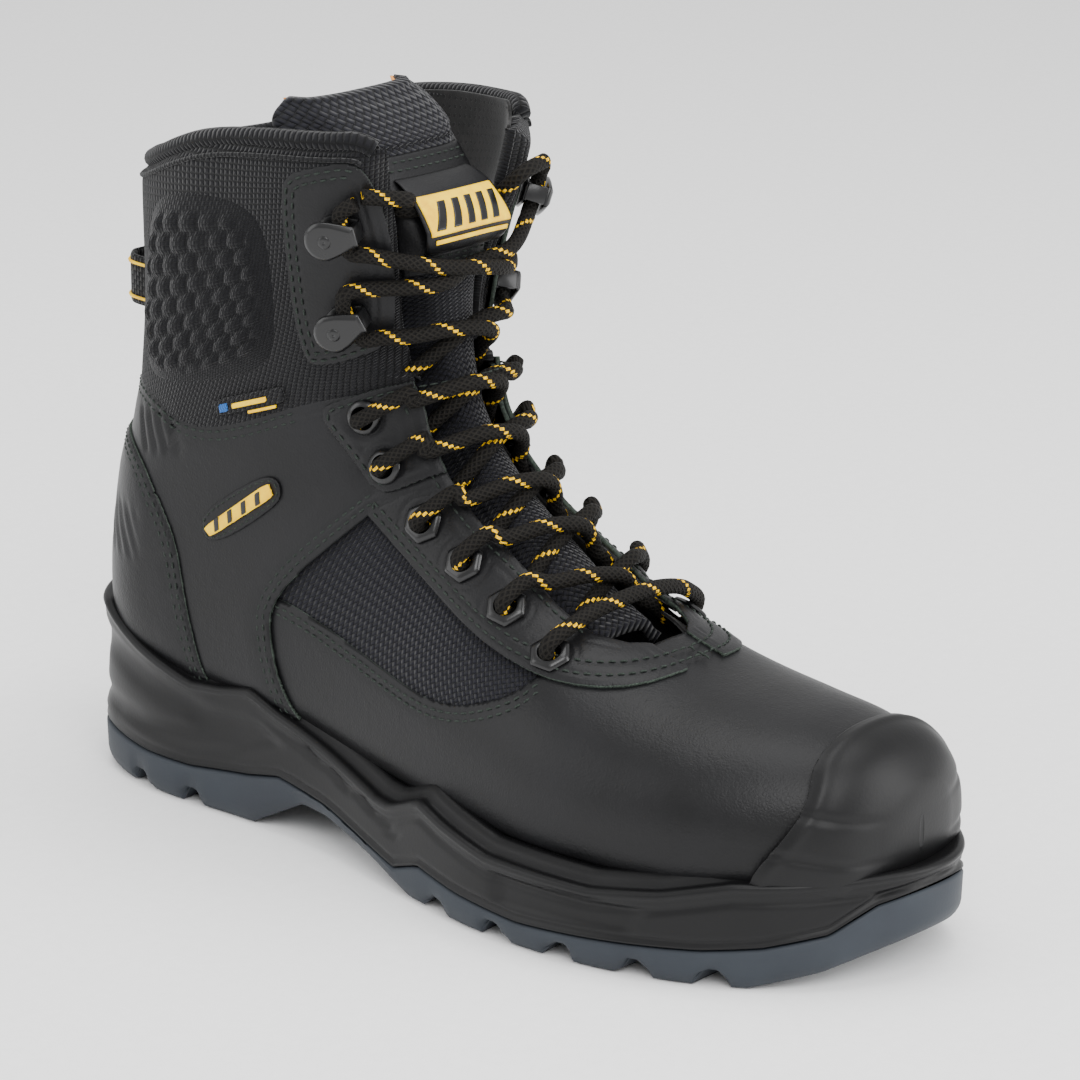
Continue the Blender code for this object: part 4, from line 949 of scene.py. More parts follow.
def make_upper():
    leather = [LOOK["leather"], LOOK["edge"]]
    vamp = rounded(VAMP_TOP, 2)
    whole = (0.02, 11.0, 0.0, 2 * math.pi)

    def vamp_relief(d, x, y, z, u, angle):
        creases = 0.35 * np.sin(x / 7.0 + 0.05 * y) * np.exp(-np.square((x - 226) / 14)) * np.exp(-np.square(y / 34))
        return stitch_groove(d, 2.4, 4.6) * (x < 205) + creases

    obj = panel("vamp_leather", leather, whole, side_shape(vamp), -1.3, 1.4, vamp_relief, step=(0.06, 0.02))
    put(obj, "boot", "leather", "vamp")

    for side, name, (a0, a1) in SIDES:
        obj = panel(f"window_weave_{name}", LOOK["window"], (5.0, 12.0, a0, a1), side_shape(rounded(TEXTILE_WINDOW, 1),
                    THROAT, margin=8), -3.0, 1.2, lambda d, x, y, z, u, a: 0.7 * np.clip(-d / 14, 0, 1), row=8.5)
        put(obj, "boot", "woven_nylon", f"textile_panel_{name}")

        quarter = rounded(QUARTER, 2)

        def quarter_relief(d, x, y, z, u, angle):
            relief = stitch_groove(d, 2.3, 4.8)
            for k in range(4):
                cx, cz = 38 + 5.2 * k, 118 + 0.6 * k
                along = (x - cx) * -0.36 + (z - cz) * 0.93
                across = (x - cx) * 0.93 + (z - cz) * 0.36
                relief -= 0.8 * np.exp(-np.square(across / 1.1)) * soft_step((7 - np.abs(along)) / 0.7) * (side < 0)
            return relief + 0.5 * np.clip(-d / 10, 0, 1)

        round_holes = [hole_at(i, side, 4.0) for i in (4, 5)]
        obj = panel(f"quarter_leather_{name}", leather, (7.5, 16.5, a0, a1),
                    side_shape(quarter, THROAT, round_holes), 0.4, 1.4, quarter_relief,
                    step=(0.045, 0.013))
        put(obj, "boot", "leather", f"quarter_{name}")

        upper = rounded(UPPER_EYELET_PANEL, 2, 0.15)

        def border_relief(d, x, y, z, u, angle):
            return 0.35 * np.exp(-np.square((-d - 3.6) / 0.8)) + stitch_groove(d, 1.8)

        obj = panel(f"upper_eyelet_leather_{name}", leather, (9.5, 14.2, a0, a1),
                    side_shape(upper, THROAT, round_holes), 2.1, 1.5, border_relief, step=(0.04, 0.012))
        put(obj, "boot", "leather", f"upper_eyelet_panel_{name}")

        hook = rounded(HOOK_PANEL, 2)
        obj = panel(f"hook_panel_leather_{name}", leather, (12.5, 18.9, a0, a1), side_shape(hook, THROAT), 0.9, 1.3,
                    lambda d, x, y, z, u, a: stitch_groove(d, 1.8, 4.2), step=(0.05, 0.014))
        put(obj, "boot", "leather", f"hook_panel_{name}")

    both_holes = [hole_at(i, side, 4.0) for i in range(HEX_EYELETS) for side in (-1, 1)]
    stay = rounded(EYESTAY, 2)
    obj = panel("eyestay_leather", leather, (4.2, 12.0, 0.9, 2 * math.pi - 0.9), side_shape(stay, THROAT, both_holes),
                0.4, 1.4, lambda d, x, y, z, u, a: stitch_groove(d, 2.0, 4.4), step=(0.04, 0.014))
    put(obj, "boot", "leather", "eyestay")

    patch = rounded(HEEL_PATCH, 2)

    def patch_relief(d, x, y, z, u, angle):
        field = soft_step((8 - np.abs(z - 84)) / 0.8) * soft_step((x - 12) / 1.0) * soft_step((38 - x) / 1.0)
        ridges = 0.5 + 0.5 * np.cos(2 * math.pi * (x + 0.5 * z) / 5.2)
        return stitch_groove(d, 2.3, 4.8) + 0.5 * np.clip(-d / 12, 0, 1) - 0.55 * field * ridges

    obj = panel("heel_patch_leather", leather, (8.0, 16.0, -1.7, 1.7), side_shape(patch), 2.1, 1.4, patch_relief,
                step=(0.045, 0.015))
    put(obj, "boot", "leather", "heel_patch")


def make_collar():
    """The padded collar: outer textile and the ankle pads on it."""
    outline = rounded(COLLAR_SIDE, 2)

    def puff(d, x, y, z, u, angle):
        return 1.0 * (1 - np.exp(d / 6.0)) - 4.2 * np.exp(-np.square(d / 3.2)) * (z > 150) + 0.9

    for side, name, (a0, a1) in SIDES:
        obj = panel(f"collar_textile_{name}", LOOK["collar"], (11.0, 18.98, a0, a1), side_shape(outline, THROAT),
                    -1.3, 3.4, puff, step=(0.07, 0.02), edge=False)
        put(obj, "boot", "collar_textile", f"collar_{name}")

        pad = rounded(ANKLE_PAD, 2)

        def bumps(d, x, y, z, u, angle):
            along, across = ruler(u, angle).T
            row = np.floor(across / 6.4)
            shift = np.where(np.mod(row, 2) > 0.5, 4.1, 0.0)
            fx = (np.mod(along + shift, 8.2) - 4.1) / 4.1
            fz = (np.mod(across, 6.4) - 3.2) / 3.2
            dome = np.clip(1 - fx * fx - fz * fz, 0, 1)
            fade = np.clip((-d - 3.5) / 3.0, 0, 1)
            return 2.6 * (1 - np.exp(d / 4.5)) + 1.7 * dome ** 0.7 * fade

        obj = panel(f"ankle_pad_knit_{name}", LOOK["pad"], (12.0, 18.5, a0, a1), side_shape(pad), 0.2, 1.6, bumps,
                    step=(0.05, 0.012), edge=False)
        put(obj, "boot", "collar_textile", f"ankle_pad_{name}")


def make_lining():
    """The lining from the rim down into the shaft."""
    outline = np.array(COLLAR_SIDE[:10] + [(340, 214), (340, 10), (-30, 10)], float)

    def shape(x, y, z, u, angle):
        distance = outline_distance(rounded(outline, 1, 0.12), x, z)
        gap = np.where(np.cos(angle) < 0, through(THROAT, u) + 2.0 - np.abs(y), -50.0)
        return np.maximum(distance, gap)

    faces, u, angle, distance = sheet_of_upper((1.0, 18.98, 0.0, 2 * math.pi), shape, (0.12, 0.035))
    depth = through([(10.4, -5.4), (12.0, -8.0)], u)
    puffed = depth + 1.6 * np.exp(-np.square((-distance - 14) / 10)) * (u > 12.5)
    obj = mesh_object("lining_mesh", lifted(u, angle, puffed), faces, LOOK["lining"], ruler(u, angle) / 10.0)
    obj.data.flip_normals()
    wall = obj.modifiers.new("thickness", "SOLIDIFY")
    wall.thickness = 0.9 * MM
    wall.offset = -1.0
    apply_modifiers(obj)
    put(obj, "boot", "lining", "bootie_lining")


def rim_line(inset=0.0):
    """The collar's rim from the back seam to the lacing gap."""
    outline = rounded(COLLAR_SIDE, 2)
    line = inset_line(outline, inset, np.array((17.5, 199.5)), np.array((136.0, 219.0)))
    if np.linalg.norm(line[1] - line[0]) > 3 or len(line) > 400:
        line = inset_line(outline[::-1], inset, np.array((17.5, 199.5)), np.array((136.0, 219.0)))
    return line


def make_rim():
    for side, name, _ in SIDES:
        line = rim_line(0.6)
        u, angle = on_side(line[:, 0], line[:, 1], side)
        roll = lifted(u, angle, np.full(len(u), -3.6))
        roll = roll[np.r_[True, np.linalg.norm(np.diff(roll, axis=0), axis=1) > 0.05]]
        line = flowing(roll[::6], 1.5)
        obj = tube(f"collar_rim_{name}", line, 2.9, LOOK["collar"], 14)
        put(obj, "boot", "collar_textile")
        u, angle = on_side(*rim_line(5.5).T, side)
        piping = lifted(u, angle, np.full(len(u), 0.2))
        line = flowing(piping[::6], 1.2)
        obj = tube(f"collar_piping_{name}", line, 0.8, LOOK["webbing"], 8)
        put(obj, "boot", "collar_textile")


make_upper()
make_collar()
make_lining()
make_rim()


# ---------------------------------------------------------------- sole

def edge_curve(points, steps):
    t = 0.5 - 0.5 * np.cos(np.linspace(0, math.pi, steps + 1))
    rows = np.asarray(points, float)
    last = np.array([rows[-2][0], 2 * rows[-1][1] - rows[-2][1]])
    return smooth_rows(np.vstack([rows[1] * (1, -1), rows, last]), 1 + t * (len(rows) - 1))


RING_STEPS = 230


def plan_ring(inset=0.0):
    """The sole's outline as a closed ring; inset may be one value or one for each point."""
    outer = edge_curve(OUTER_EDGE, RING_STEPS)
    inner = edge_curve(INNER_EDGE, RING_STEPS)
    ring = np.vstack([outer, inner[::-1][1:-1]])
    tangent = np.roll(ring, -2, 0) - np.roll(ring, 2, 0)
    inwards = np.stack([-tangent[:, 1], tangent[:, 0]], -1)
    inwards /= np.linalg.norm(inwards, axis=1)[:, None]
    return ring + inwards * (np.asarray(inset, float)[..., None])


def recess(outline, x, z, depth, soft=0.9):
    return depth * soft_step(-outline_distance(outline, x, z) / soft)


def wall_carving(x, z, top, bottom):
    """How far the sole's wall is pushed in at a height: hollows at the heel, ticks at the waist, a long panel."""
    push = recess([(3, 24), (24, 20), (62, 20), (84, 24), (100, 30), (92, 34), (70, 34), (48, 40), (24, 46), (3, 50)],
                  x, z, 1.9, 1.0)
    push -= recess([(10, 28), (40, 25), (64, 27), (60, 30), (36, 34), (14, 40)], x, z, 1.3, 1.1)
    for cx, cz in ((116, 31), (131, 26.5), (146, 23), (158, 19.5)):
        along = (x - cx) * 0.83 - (z - cz) * 0.55
        across = (x - cx) * 0.55 + (z - cz) * 0.83
        push += 1.1 * np.exp(-np.square(across / 0.9)) * soft_step((4.6 - np.abs(along)) / 0.5)
    push += recess([(208, 12.5), (254, 13.5), (258, 20.5), (240, 21.5), (206, 21)], x, z, 1.2, 0.45)
    push += 0.7 * np.exp(-np.square((z - top + 5.4) / 1.1)) * soft_step((x - 96) / 3)
    push += 0.8 * np.exp(-np.square((z - bottom - 2.2) / 0.8))
    return push


def sole_loft(name, rings, look, close=False):
    count = len(rings[0])
    rows = list(range(len(rings) - 1)) + ([len(rings) - 1] if close else [])
    faces = [(count * i + k, count * i + (k + 1) % count, count * ((i + 1) % len(rings)) + (k + 1) % count,
              count * ((i + 1) % len(rings)) + k) for i in rows for k in range(count)]
    points = np.vstack(rings)
    lengths = np.tile(np.arange(count) * 0.16, len(rings))
    obj = mesh_object(name, points, faces, look, np.stack([lengths, points[:, 2] / 10], -1))
    return obj


LUGS = ((42, -5), (66, -5), (176, 4), (202, 4), (228, 2), (254, 0), (278, -3))


def tread_depth(x, y, deep=5.0):
    """Depth of the tread under a point: cuts between the edge lugs, a channel round the middle and its blocks."""
    edge = np.where(y < 0, -through(OUTER_EDGE, x), through(INNER_EDGE, x))
    from_edge = edge - np.abs(y)
    cut = np.zeros_like(x)
    for at, slant in LUGS:
        middle = at + slant * np.clip(1 - from_edge / 32, 0, 1)
        cut = np.maximum(cut, np.clip((4.4 - np.abs(x - middle)) / 2.0, 0, 1) * soft_step((25 - from_edge) / 0.8))
    channel = soft_step((1.6 - np.abs(from_edge - 25)) / 0.35)
    lane = soft_step((from_edge - 26) / 0.6)
    channel = channel * soft_step((292 - x) / 1.0)
    from_bar = np.abs(np.mod(x + 0.6 * np.abs(y) + 200, 15.0) - 7.5)
    chevron = soft_step((284 - x) / 1.0) * soft_step((1.3 - from_bar) / 0.35) * lane
    return deep * np.maximum(np.maximum(cut, channel), chevron * 0.7)


def make_outsole():
    rings = []
    base = plan_ring(3.0)
    ground = through(GROUND_LINE, base[:, 0])
    depth = tread_depth(base[:, 0], base[:, 1])
    rings.append(np.column_stack([base, ground + depth]))
    for rise, inset in ((1.2, 2.0), (2.6, 1.2), (4.0, 0.7), (5.2, 0.5)):
        notch = np.clip(depth / 5.0, 0, 1) * np.clip(1 - rise / 6.5, 0, 1)
        ring = plan_ring(inset + 3.4 * notch)
        rings.append(np.column_stack([ring, np.maximum(ground + rise, ground + depth + rise * 0.12)]))
    edge = plan_ring(0.3)
    top = through(OUTSOLE_TOP, edge[:, 0]) - 0.2
    low = np.maximum(rings[-1][:, 2] + 0.3, top - 1.2)
    rings.append(np.column_stack([plan_ring(0.2), np.minimum(low, top - 0.1)]))
    rings.append(np.column_stack([plan_ring(0.7), top]))
    rings.append(np.column_stack([plan_ring(12.0), through(OUTSOLE_TOP, plan_ring(12.0)[:, 0]) - 0.6]))
    obj = sole_loft("outsole_wall", rings, LOOK["grey sole"])
    face_outwards(obj)
    put(obj, "boot", "outsole", "outsole")

    outer, inner = base[:RING_STEPS + 1], np.vstack([base[0], base[RING_STEPS + 1:][::-1], base[RING_STEPS]])
    outer, inner = outer[4:-4], inner[4:-4]
    across = np.linspace(0, 1, 90)
    grid = outer[:, None, :] + (inner - outer)[:, None, :] * across[None, :, None]
    x, y = grid[..., 0].ravel(), grid[..., 1].ravel()
    z = through(GROUND_LINE, x) + tread_depth(x, y)
    rows = len(outer)
    quads = [(i * 90 + k, i * 90 + k + 1, (i + 1) * 90 + k + 1, (i + 1) * 90 + k)
             for i in range(rows - 1) for k in range(89)]
    obj = mesh_object("outsole_tread", np.column_stack([x, y, z]), quads, LOOK["grey sole"],
                      np.column_stack([x, y]) / 10)
    if sum(polygon.normal.z * polygon.area for polygon in obj.data.polygons) > 0:
        obj.data.flip_normals()
    wall = obj.modifiers.new("thickness", "SOLIDIFY")
    wall.thickness = 1.5 * MM
    wall.offset = -1.0
    apply_modifiers(obj)
    put(obj, "boot", "outsole")


def make_midsole():
    """The black wall: carved side, a rolled bead, then a fillet up to the leather."""
    edge = plan_ring(0.0)
    bottom = through(OUTSOLE_TOP, edge[:, 0]) + 0.15
    top = through(MIDSOLE_TOP, edge[:, 0])
    rings = [np.column_stack([plan_ring(12.0), bottom + 0.4]), np.column_stack([plan_ring(1.2), bottom])]
    levels = np.linspace(0.03, 1, 22)
    for level in levels:
        z = bottom + (top - 2.6 - bottom) * level
        push = wall_carving(edge[:, 0], z, top, bottom)
        ring = plan_ring(0.2 + 0.5 * level + push)
        rings.append(np.column_stack([ring, z]))
    for inset, rise in ((0.2, -2.0), (0.0, -1.2), (0.35, -0.4), (1.3, 0.3), (2.4, 0.2), (3.4, -0.1), (4.4, 0.5),
                        (5.6, 2.0),
                        (7.0, 3.8), (9.5, 4.0), (12.0, 1.0)):
        toe = np.clip((edge[:, 0] - 276) / 14, 0, 1)
        rise = rise * (1 - toe) + (min(rise, 0.0) - 0.35 * max(inset - 2.4, 0.0)) * toe
        rings.append(np.column_stack([plan_ring(inset), top + rise]))
    obj = sole_loft("midsole_wall", rings, LOOK["black sole"], close=True)
    face_outwards(obj)
    put(obj, "boot", "midsole", "midsole")


def make_bumper():
    outline = rounded(BUMPER, 2)

    def relief(d, x, y, z, u, angle):
        lift = 0.9 * (1 - np.exp(d / 3.0)) - 0.9 + 0.5 * np.exp(-np.square((d + 2.6) / 1.4))
        flank = soft_step((np.abs(y - 7) - 20) / 3) * soft_step((x - 285) / 1.5)
        for height in (40.0, 52.0):
            lift -= 0.7 * flank * np.exp(-np.square((z - height + 0.25 * (x - 296)) / 1.3))
        return lift

    obj = panel("toe_bumper", LOOK["black sole"], (0.03, 4.4, 0.0, 2 * math.pi), side_shape(outline), 2.4, 3.2, relief,
                step=(0.02, 0.02), edge=False)
    put(obj, "boot", "midsole")
    points = fan_point(np.full(40, 0.03), np.linspace(0, 2 * math.pi, 41)[:-1])
    nose = points.mean(0)
    ring = lifted(np.full(40, 0.06), np.linspace(0, 2 * math.pi, 41)[:-1], np.full(40, 2.4))
    obj = mesh_object("toe_bumper_nose", np.vstack([ring, nose + np.array([2.2, 0, 0])]),
                      [(k, (k + 1) % 40, 40) for k in range(40)], LOOK["black sole"])
    if obj.data.polygons[0].normal.x < 0:
        obj.data.flip_normals()
    put(obj, "boot", "midsole")


make_outsole()
make_midsole()
make_bumper()


# ---------------------------------------------------------------- tongue

def tongue_piece(name, look, u0, u1, half_width, low, high, rows=70, columns=44):
    """A slab of the tongue between two heights, which may be functions of section and y."""
    u, s = (g.ravel() for g in np.meshgrid(np.linspace(u0, u1, rows), np.linspace(-1, 1, columns), indexing="ij"))
    y = half_width(u) * s
    sheets = []
    for level in (low, high):
        rise = level(u, y) if callable(level) else np.full(len(u), float(level))
        sheets.append(tongue_point(u, y, rise))
    uv = np.column_stack([y / 10, ruler(u, np.full_like(u, math.pi))[:, 1] / 10])
    quads = [(i * columns + k, i * columns + k + 1, (i + 1) * columns + k + 1, (i + 1) * columns + k)
             for i in range(rows - 1) for k in range(columns - 1)]
    base = rows * columns
    rim = [i * columns for i in range(rows)] + [(rows - 1) * columns + k for k in range(1, columns)]
    rim += [i * columns + columns - 1 for i in range(rows - 2, -1, -1)] + [k for k in range(columns - 2, 0, -1)]
    faces = [tuple(q) for q in quads] + [tuple(base + v for v in q[::-1]) for q in quads]
    faces += [(a, b, base + b, base + a) for a, b in zip(rim, rim[1:] + rim[:1])]
    obj = mesh_object(name, np.vstack(sheets), faces, look, np.vstack([uv, uv]))
    return face_outwards(obj)


def tongue_full(u):
    return through(TONGUE_HALF_WIDTH, u) + through([(13.5, 0.0), (15.5, 4.5), (18.0, 5.0)], u)


def label_arch(u, y=0.0):
    bottom, top = LABEL_SECTIONS
    return PATCH[1] + 0.6 + LABEL_ARCH * np.sqrt(np.clip(np.sin(math.pi * (u - bottom) / (top - bottom)), 0, 1))


def make_tongue():
    def quilt(u, y):
        return 0.5 * np.cos(np.clip(y / tongue_full(u), -1, 1) * math.pi / 2)

    obj = tongue_piece("tongue_weave", LOOK["tongue"], 6.6, 17.72, tongue_full, -TONGUE_THICK, quilt, 120)
    put(obj, "tongue", "woven_nylon", "tongue_body")

    def pad_width(u):
        return tongue_full(u) + 2.0 - 6.5 * np.clip((u - 18.1) / 0.56, 0, 1) ** 3

    def pad_top(u, y):
        round_edge = np.sqrt(np.clip(1 - np.square(y / (pad_width(u) + 0.2)), 0, 1)) ** 0.6
        return 5.6 * np.sin(math.pi * np.clip((u - 17.7) / 0.98, 0, 1)) ** 0.8 * round_edge

    def pad_low(u, y):
        round_edge = np.sqrt(np.clip(1 - np.square(y / (pad_width(u) + 0.2)), 0, 1)) ** 0.6
        return -TONGUE_THICK - 2.2 * np.sin(math.pi * np.clip((u - 17.7) / 1.0, 0, 1)) * round_edge

    obj = tongue_piece("tongue_pad_weave", LOOK["tongue"], 17.72, 18.66, pad_width, pad_low, pad_top, 40, 60)
    put(obj, "tongue", "woven_nylon", "tongue_top_pad")
    obj = tongue_piece("tongue_lining_mesh", LOOK["orange"], 8.0, 18.62, lambda u: tongue_full(u) - 2.5,
                       lambda u, y: pad_low(u, y) - 1.2, lambda u, y: pad_low(u, y) - 0.2, 90)
    put(obj, "tongue", "orange_lining", "tongue_lining")

    def patch_width(u):
        return np.minimum(22.5, through(THROAT, u) - 0.5)

    obj = tongue_piece("tongue_patch_leather", LOOK["leather"], 14.9, 17.6, patch_width, PATCH[0], PATCH[1], 50)
    put(obj, "tongue", "leather", "tongue_patch")

    bottom, top = LABEL_SECTIONS
    obj = tongue_piece("tongue_label_leather", LOOK["leather"], bottom, top,
                       lambda u: np.minimum(LABEL_HALF_WIDTH - 2.6, through(THROAT, u) - 4.2), label_arch,
                       lambda u, y: label_arch(u, y) + 1.0, 60)
    put(obj, "tongue", "leather", "tongue_label")

    for name, (u0, u1), half, look in (("label_plate", (16.1, 16.95), 15.2, "yellow"),
                                       ("label_bar", (15.86, 15.98), 14.0, "yellow")):
        obj = tongue_piece(name, LOOK[look], u0, u1, lambda u, h=half: np.full_like(u, h),
                           lambda u, y: label_arch(u) + 1.0, lambda u, y: label_arch(u) + 1.5, 20)
        put(obj, "tongue", "badge")
    for k in range(5):
        centre = -10.4 + 5.2 * k
        obj = tongue_piece(f"label_chevron_{k + 1}", LOOK["metal"], 16.24, 16.82, lambda u: np.full_like(u, 1.3),
                           lambda u, y: label_arch(u) + 1.3, lambda u, y: label_arch(u) + 1.75, 16, 6)
        points = [tongue_point(np.array(u), np.array(y), np.array(label_arch(u) + lift))
                  for u, y, lift in label_bar_points(centre)]
        obj.data.vertices.foreach_set("co", ((np.array(points) - HEEL_BACK) * MM).astype(np.float32).ravel())
        obj.data.update()
        face_outwards(obj)
        put(obj, "tongue", "badge")


def label_bar_points(centre, rows=16, columns=6):
    """A slanted bar, as the section, y and lift of each of its points, in the order of tongue_piece."""
    made = []
    for lift in (1.3, 1.75):
        for u in np.linspace(16.24, 16.82, rows):
            for s in np.linspace(-1, 1, columns):
                made.append((u, centre + s * 1.3 + (u - 16.53) * 7.0, lift))
    return made


make_tongue()


# ---------------------------------------------------------------- metalwork and trims

def turned(name, centre, axes, profile, look, sides=36, corners=0):
    """A ring-shaped piece from a closed profile of (radius, level, how far it follows the many-sided outline)."""
    points = []
    for radius, level, sharp in profile:
        for k in range(sides):
            a = 2 * math.pi * k / sides
            r = radius
            if corners:
                part = 2 * math.pi / corners
                flat = math.cos(part / 2) / math.cos((a % part) - part / 2)
                r = radius * (1 - sharp + sharp * (0.12 + 0.88 * flat))
            points.append(centre + (axes[0] * math.cos(a + 0.3) + axes[1] * math.sin(a + 0.3)) * r + axes[2] * level)
    rows = len(profile)
    faces = [(i * sides + k, i * sides + (k + 1) % sides, ((i + 1) % rows) * sides + (k + 1) % sides,
              ((i + 1) % rows) * sides + k) for i in range(rows) for k in range(sides)]
    return face_outwards(mesh_object(name, points, faces, look))


def teardrop(radius, at, neck, start, shrink=0.0, sides=14):
    ring = [(start + shrink, -neck + shrink), (at - radius * 0.5, -(radius - shrink) * 0.87)]
    ring += [(at + (radius - shrink) * math.cos(a), (radius - shrink) * math.sin(a))
             for a in np.linspace(-math.pi / 2, math.pi / 2, sides)]
    return ring + [(at - radius * 0.5, (radius - shrink) * 0.87), (start + shrink, neck - shrink)]


def stacked(name, axes, layers, look):
    """A closed piece from outlines of equal length in the hook's own plane, one above the other."""
    centre, away, up, out = axes
    points = [centre + away * a + up * b + out * level for outline, level in layers for a, b in outline]
    count, rows = len(layers[0][0]), len(layers)
    faces = [tuple(range(count)), tuple(range((rows - 1) * count, rows * count))]
    faces += [(i * count + k, i * count + (k + 1) % count, (i + 1) * count + (k + 1) % count, (i + 1) * count + k)
              for i in range(rows - 1) for k in range(count)]
    obj = face_outwards(mesh_object(name, points, faces, look, smooth=False))
    bevel = obj.modifiers.new("edge", "BEVEL")
    bevel.width = 0.35 * MM
    bevel.segments = 2
    bevel.limit_method = "ANGLE"
    apply_modifiers(obj)
    bpy.context.view_layer.objects.active = obj
    obj.select_set(True)
    bpy.ops.object.shade_smooth_by_angle(angle=math.radians(40))
    obj.select_set(False)
    return obj


def make_metalwork():
    for side, name in ((-1, "outer"), (1, "inner")):
        for i, (u, y) in enumerate(EYELETS):
            hexagonal = i < HEX_EYELETS
            face = 0.4 if hexagonal else 2.1
            rim = 6.6 if hexagonal else 5.4
            centre, away, up, out = local_frame(u, side * y)
            profile = [(3.3, -1.1, 0), (3.3, face + 1.3, 0), (3.7, face + 1.75, 0), (rim - 1.5, face + 1.7, 0.6),
                       (rim - 0.4, face + 1.2, 1), (rim, face + 0.5, 1), (rim - 0.3, face + 0.1, 1),
                       (3.9, face + 0.1, 0), (3.9, -1.1, 0)]
            kind = "hex" if hexagonal else "round"
            obj = turned(f"{kind}_eyelet_metal_{i + 1}_{name}", centre, (away, up, out), profile, LOOK["metal"],
                         corners=6 if hexagonal else 0)
            bpy.context.view_layer.objects.active = obj
            obj.select_set(True)
            bpy.ops.object.shade_smooth_by_angle(angle=math.radians(50))
            obj.select_set(False)
            put(obj, "boot", "black_metal", f"{kind}_eyelet_{i + 1}_{name}")
        for i, (u, y) in enumerate(HOOKS):
            axes = local_frame(u, side * y, 0.4)
            base = stacked(f"hook_base_{i + 1}_{name}", axes, [(teardrop(5.4, 2.0, 3.0, -6.0), 1.0),
                                                               (teardrop(5.4, 2.0, 3.0, -6.0), 2.2)], LOOK["metal"])
            neck = [(-6.6, -2.7), (-4.7, -2.7), (-4.7, 2.7), (-6.6, 2.7)]
            stem = stacked(f"hook_neck_{i + 1}_{name}", axes, [(neck, 1.4), (neck, 8.8)], LOOK["metal"])
            flap = stacked(f"hook_flap_{i + 1}_{name}", axes,
                           [(teardrop(6.2, 3.4, 3.0, -6.8), 7.7), (teardrop(6.2, 3.4, 3.0, -6.8), 8.9),
                            (teardrop(6.2, 3.4, 3.0, -6.8, 1.2), 9.7)], LOOK["metal"])
            put(base, "boot", "black_metal", f"hook_{i + 1}_{name}")
            put(stem, "boot", "black_metal")
            put(flap, "boot", "black_metal")
            for level, low, high in (("base", 2.1, 2.7), ("flap", 9.5, 10.1)):
                centre, away, up, out = axes
                at = centre + away * 3.0
                rivet = turned(f"hook_rivet_{level}_{i + 1}_{name}", at, (away, up, out),
                               [(0.05, high, 0), (1.1, high, 0), (1.9, high - 0.2, 0), (2.2, low, 0), (0.05, low, 0)],
                               LOOK["metal"], 20)
                put(rivet, "boot", "black_metal")


def slab_on_side(name, outline, low, high, look, side=-1, soft=0.35):
    obj = panel(name, look, (10.0, 16.0, 0.0, math.pi) if side < 0 else (10.0, 16.0, math.pi, 2 * math.pi),
                side_shape(outline), high, high - low, lambda d, x, y, z, u, a: -soft * np.exp(-np.square(d / 0.5)),
                step=(0.02, 0.006), edge=False)
    return obj


def make_trims():
    obj = slab_on_side("badge_leather", rounded(BADGE, 2), 0.7, 2.0, LOOK["leather"])
    put(obj, "boot", "badge", "side_badge")
    obj = slab_on_side("badge_plate", rounded(BADGE_FACE, 1, 0.1), 1.6, 3.2, LOOK["yellow"])
    put(obj, "boot", "badge")
    for k in range(4):
        ax, az = 73.5 + 5.4 * k, 94.6 + 3.75 * k
        bar = [(ax - 0.8, az - 2.6), (ax + 0.9, az - 1.4), (ax + 0.5, az + 2.6), (ax - 1.2, az + 1.4)]
        obj = slab_on_side(f"badge_bar_{k + 1}", bar, 2.9, 3.5, LOOK["metal"], soft=0.1)
        put(obj, "boot", "badge")
    obj = slab_on_side("tag_weave", rounded(TAG, 1, 0.1), 0.6, 1.6, LOOK["collar"], soft=0.1)
    put(obj, "boot", "tag", "side_tag")
    for k, (look, start, reach) in enumerate((("blue", 75.0, 3.2), ("yellow", 80.0, 13.0), ("yellow", 86.0, 10.5))):
        lift = 0.6 if k < 2 else -2.4
        wide = 2.6 if k == 0 else (1.6 if k == 1 else 0.9)
        az = 131.5 + 0.335 * (start - 75.0) + lift
        outline = [(start, az - wide / 2), (start + reach, az - wide / 2 + 0.335 * reach),
                   (start + reach - 0.3, az + wide / 2 + 0.335 * reach), (start - 0.3, az + wide / 2)]
        obj = slab_on_side(f"tag_mark_{k + 1}", outline, 1.3, 2.0, LOOK[look], soft=0.05)
        put(obj, "boot", "tag")


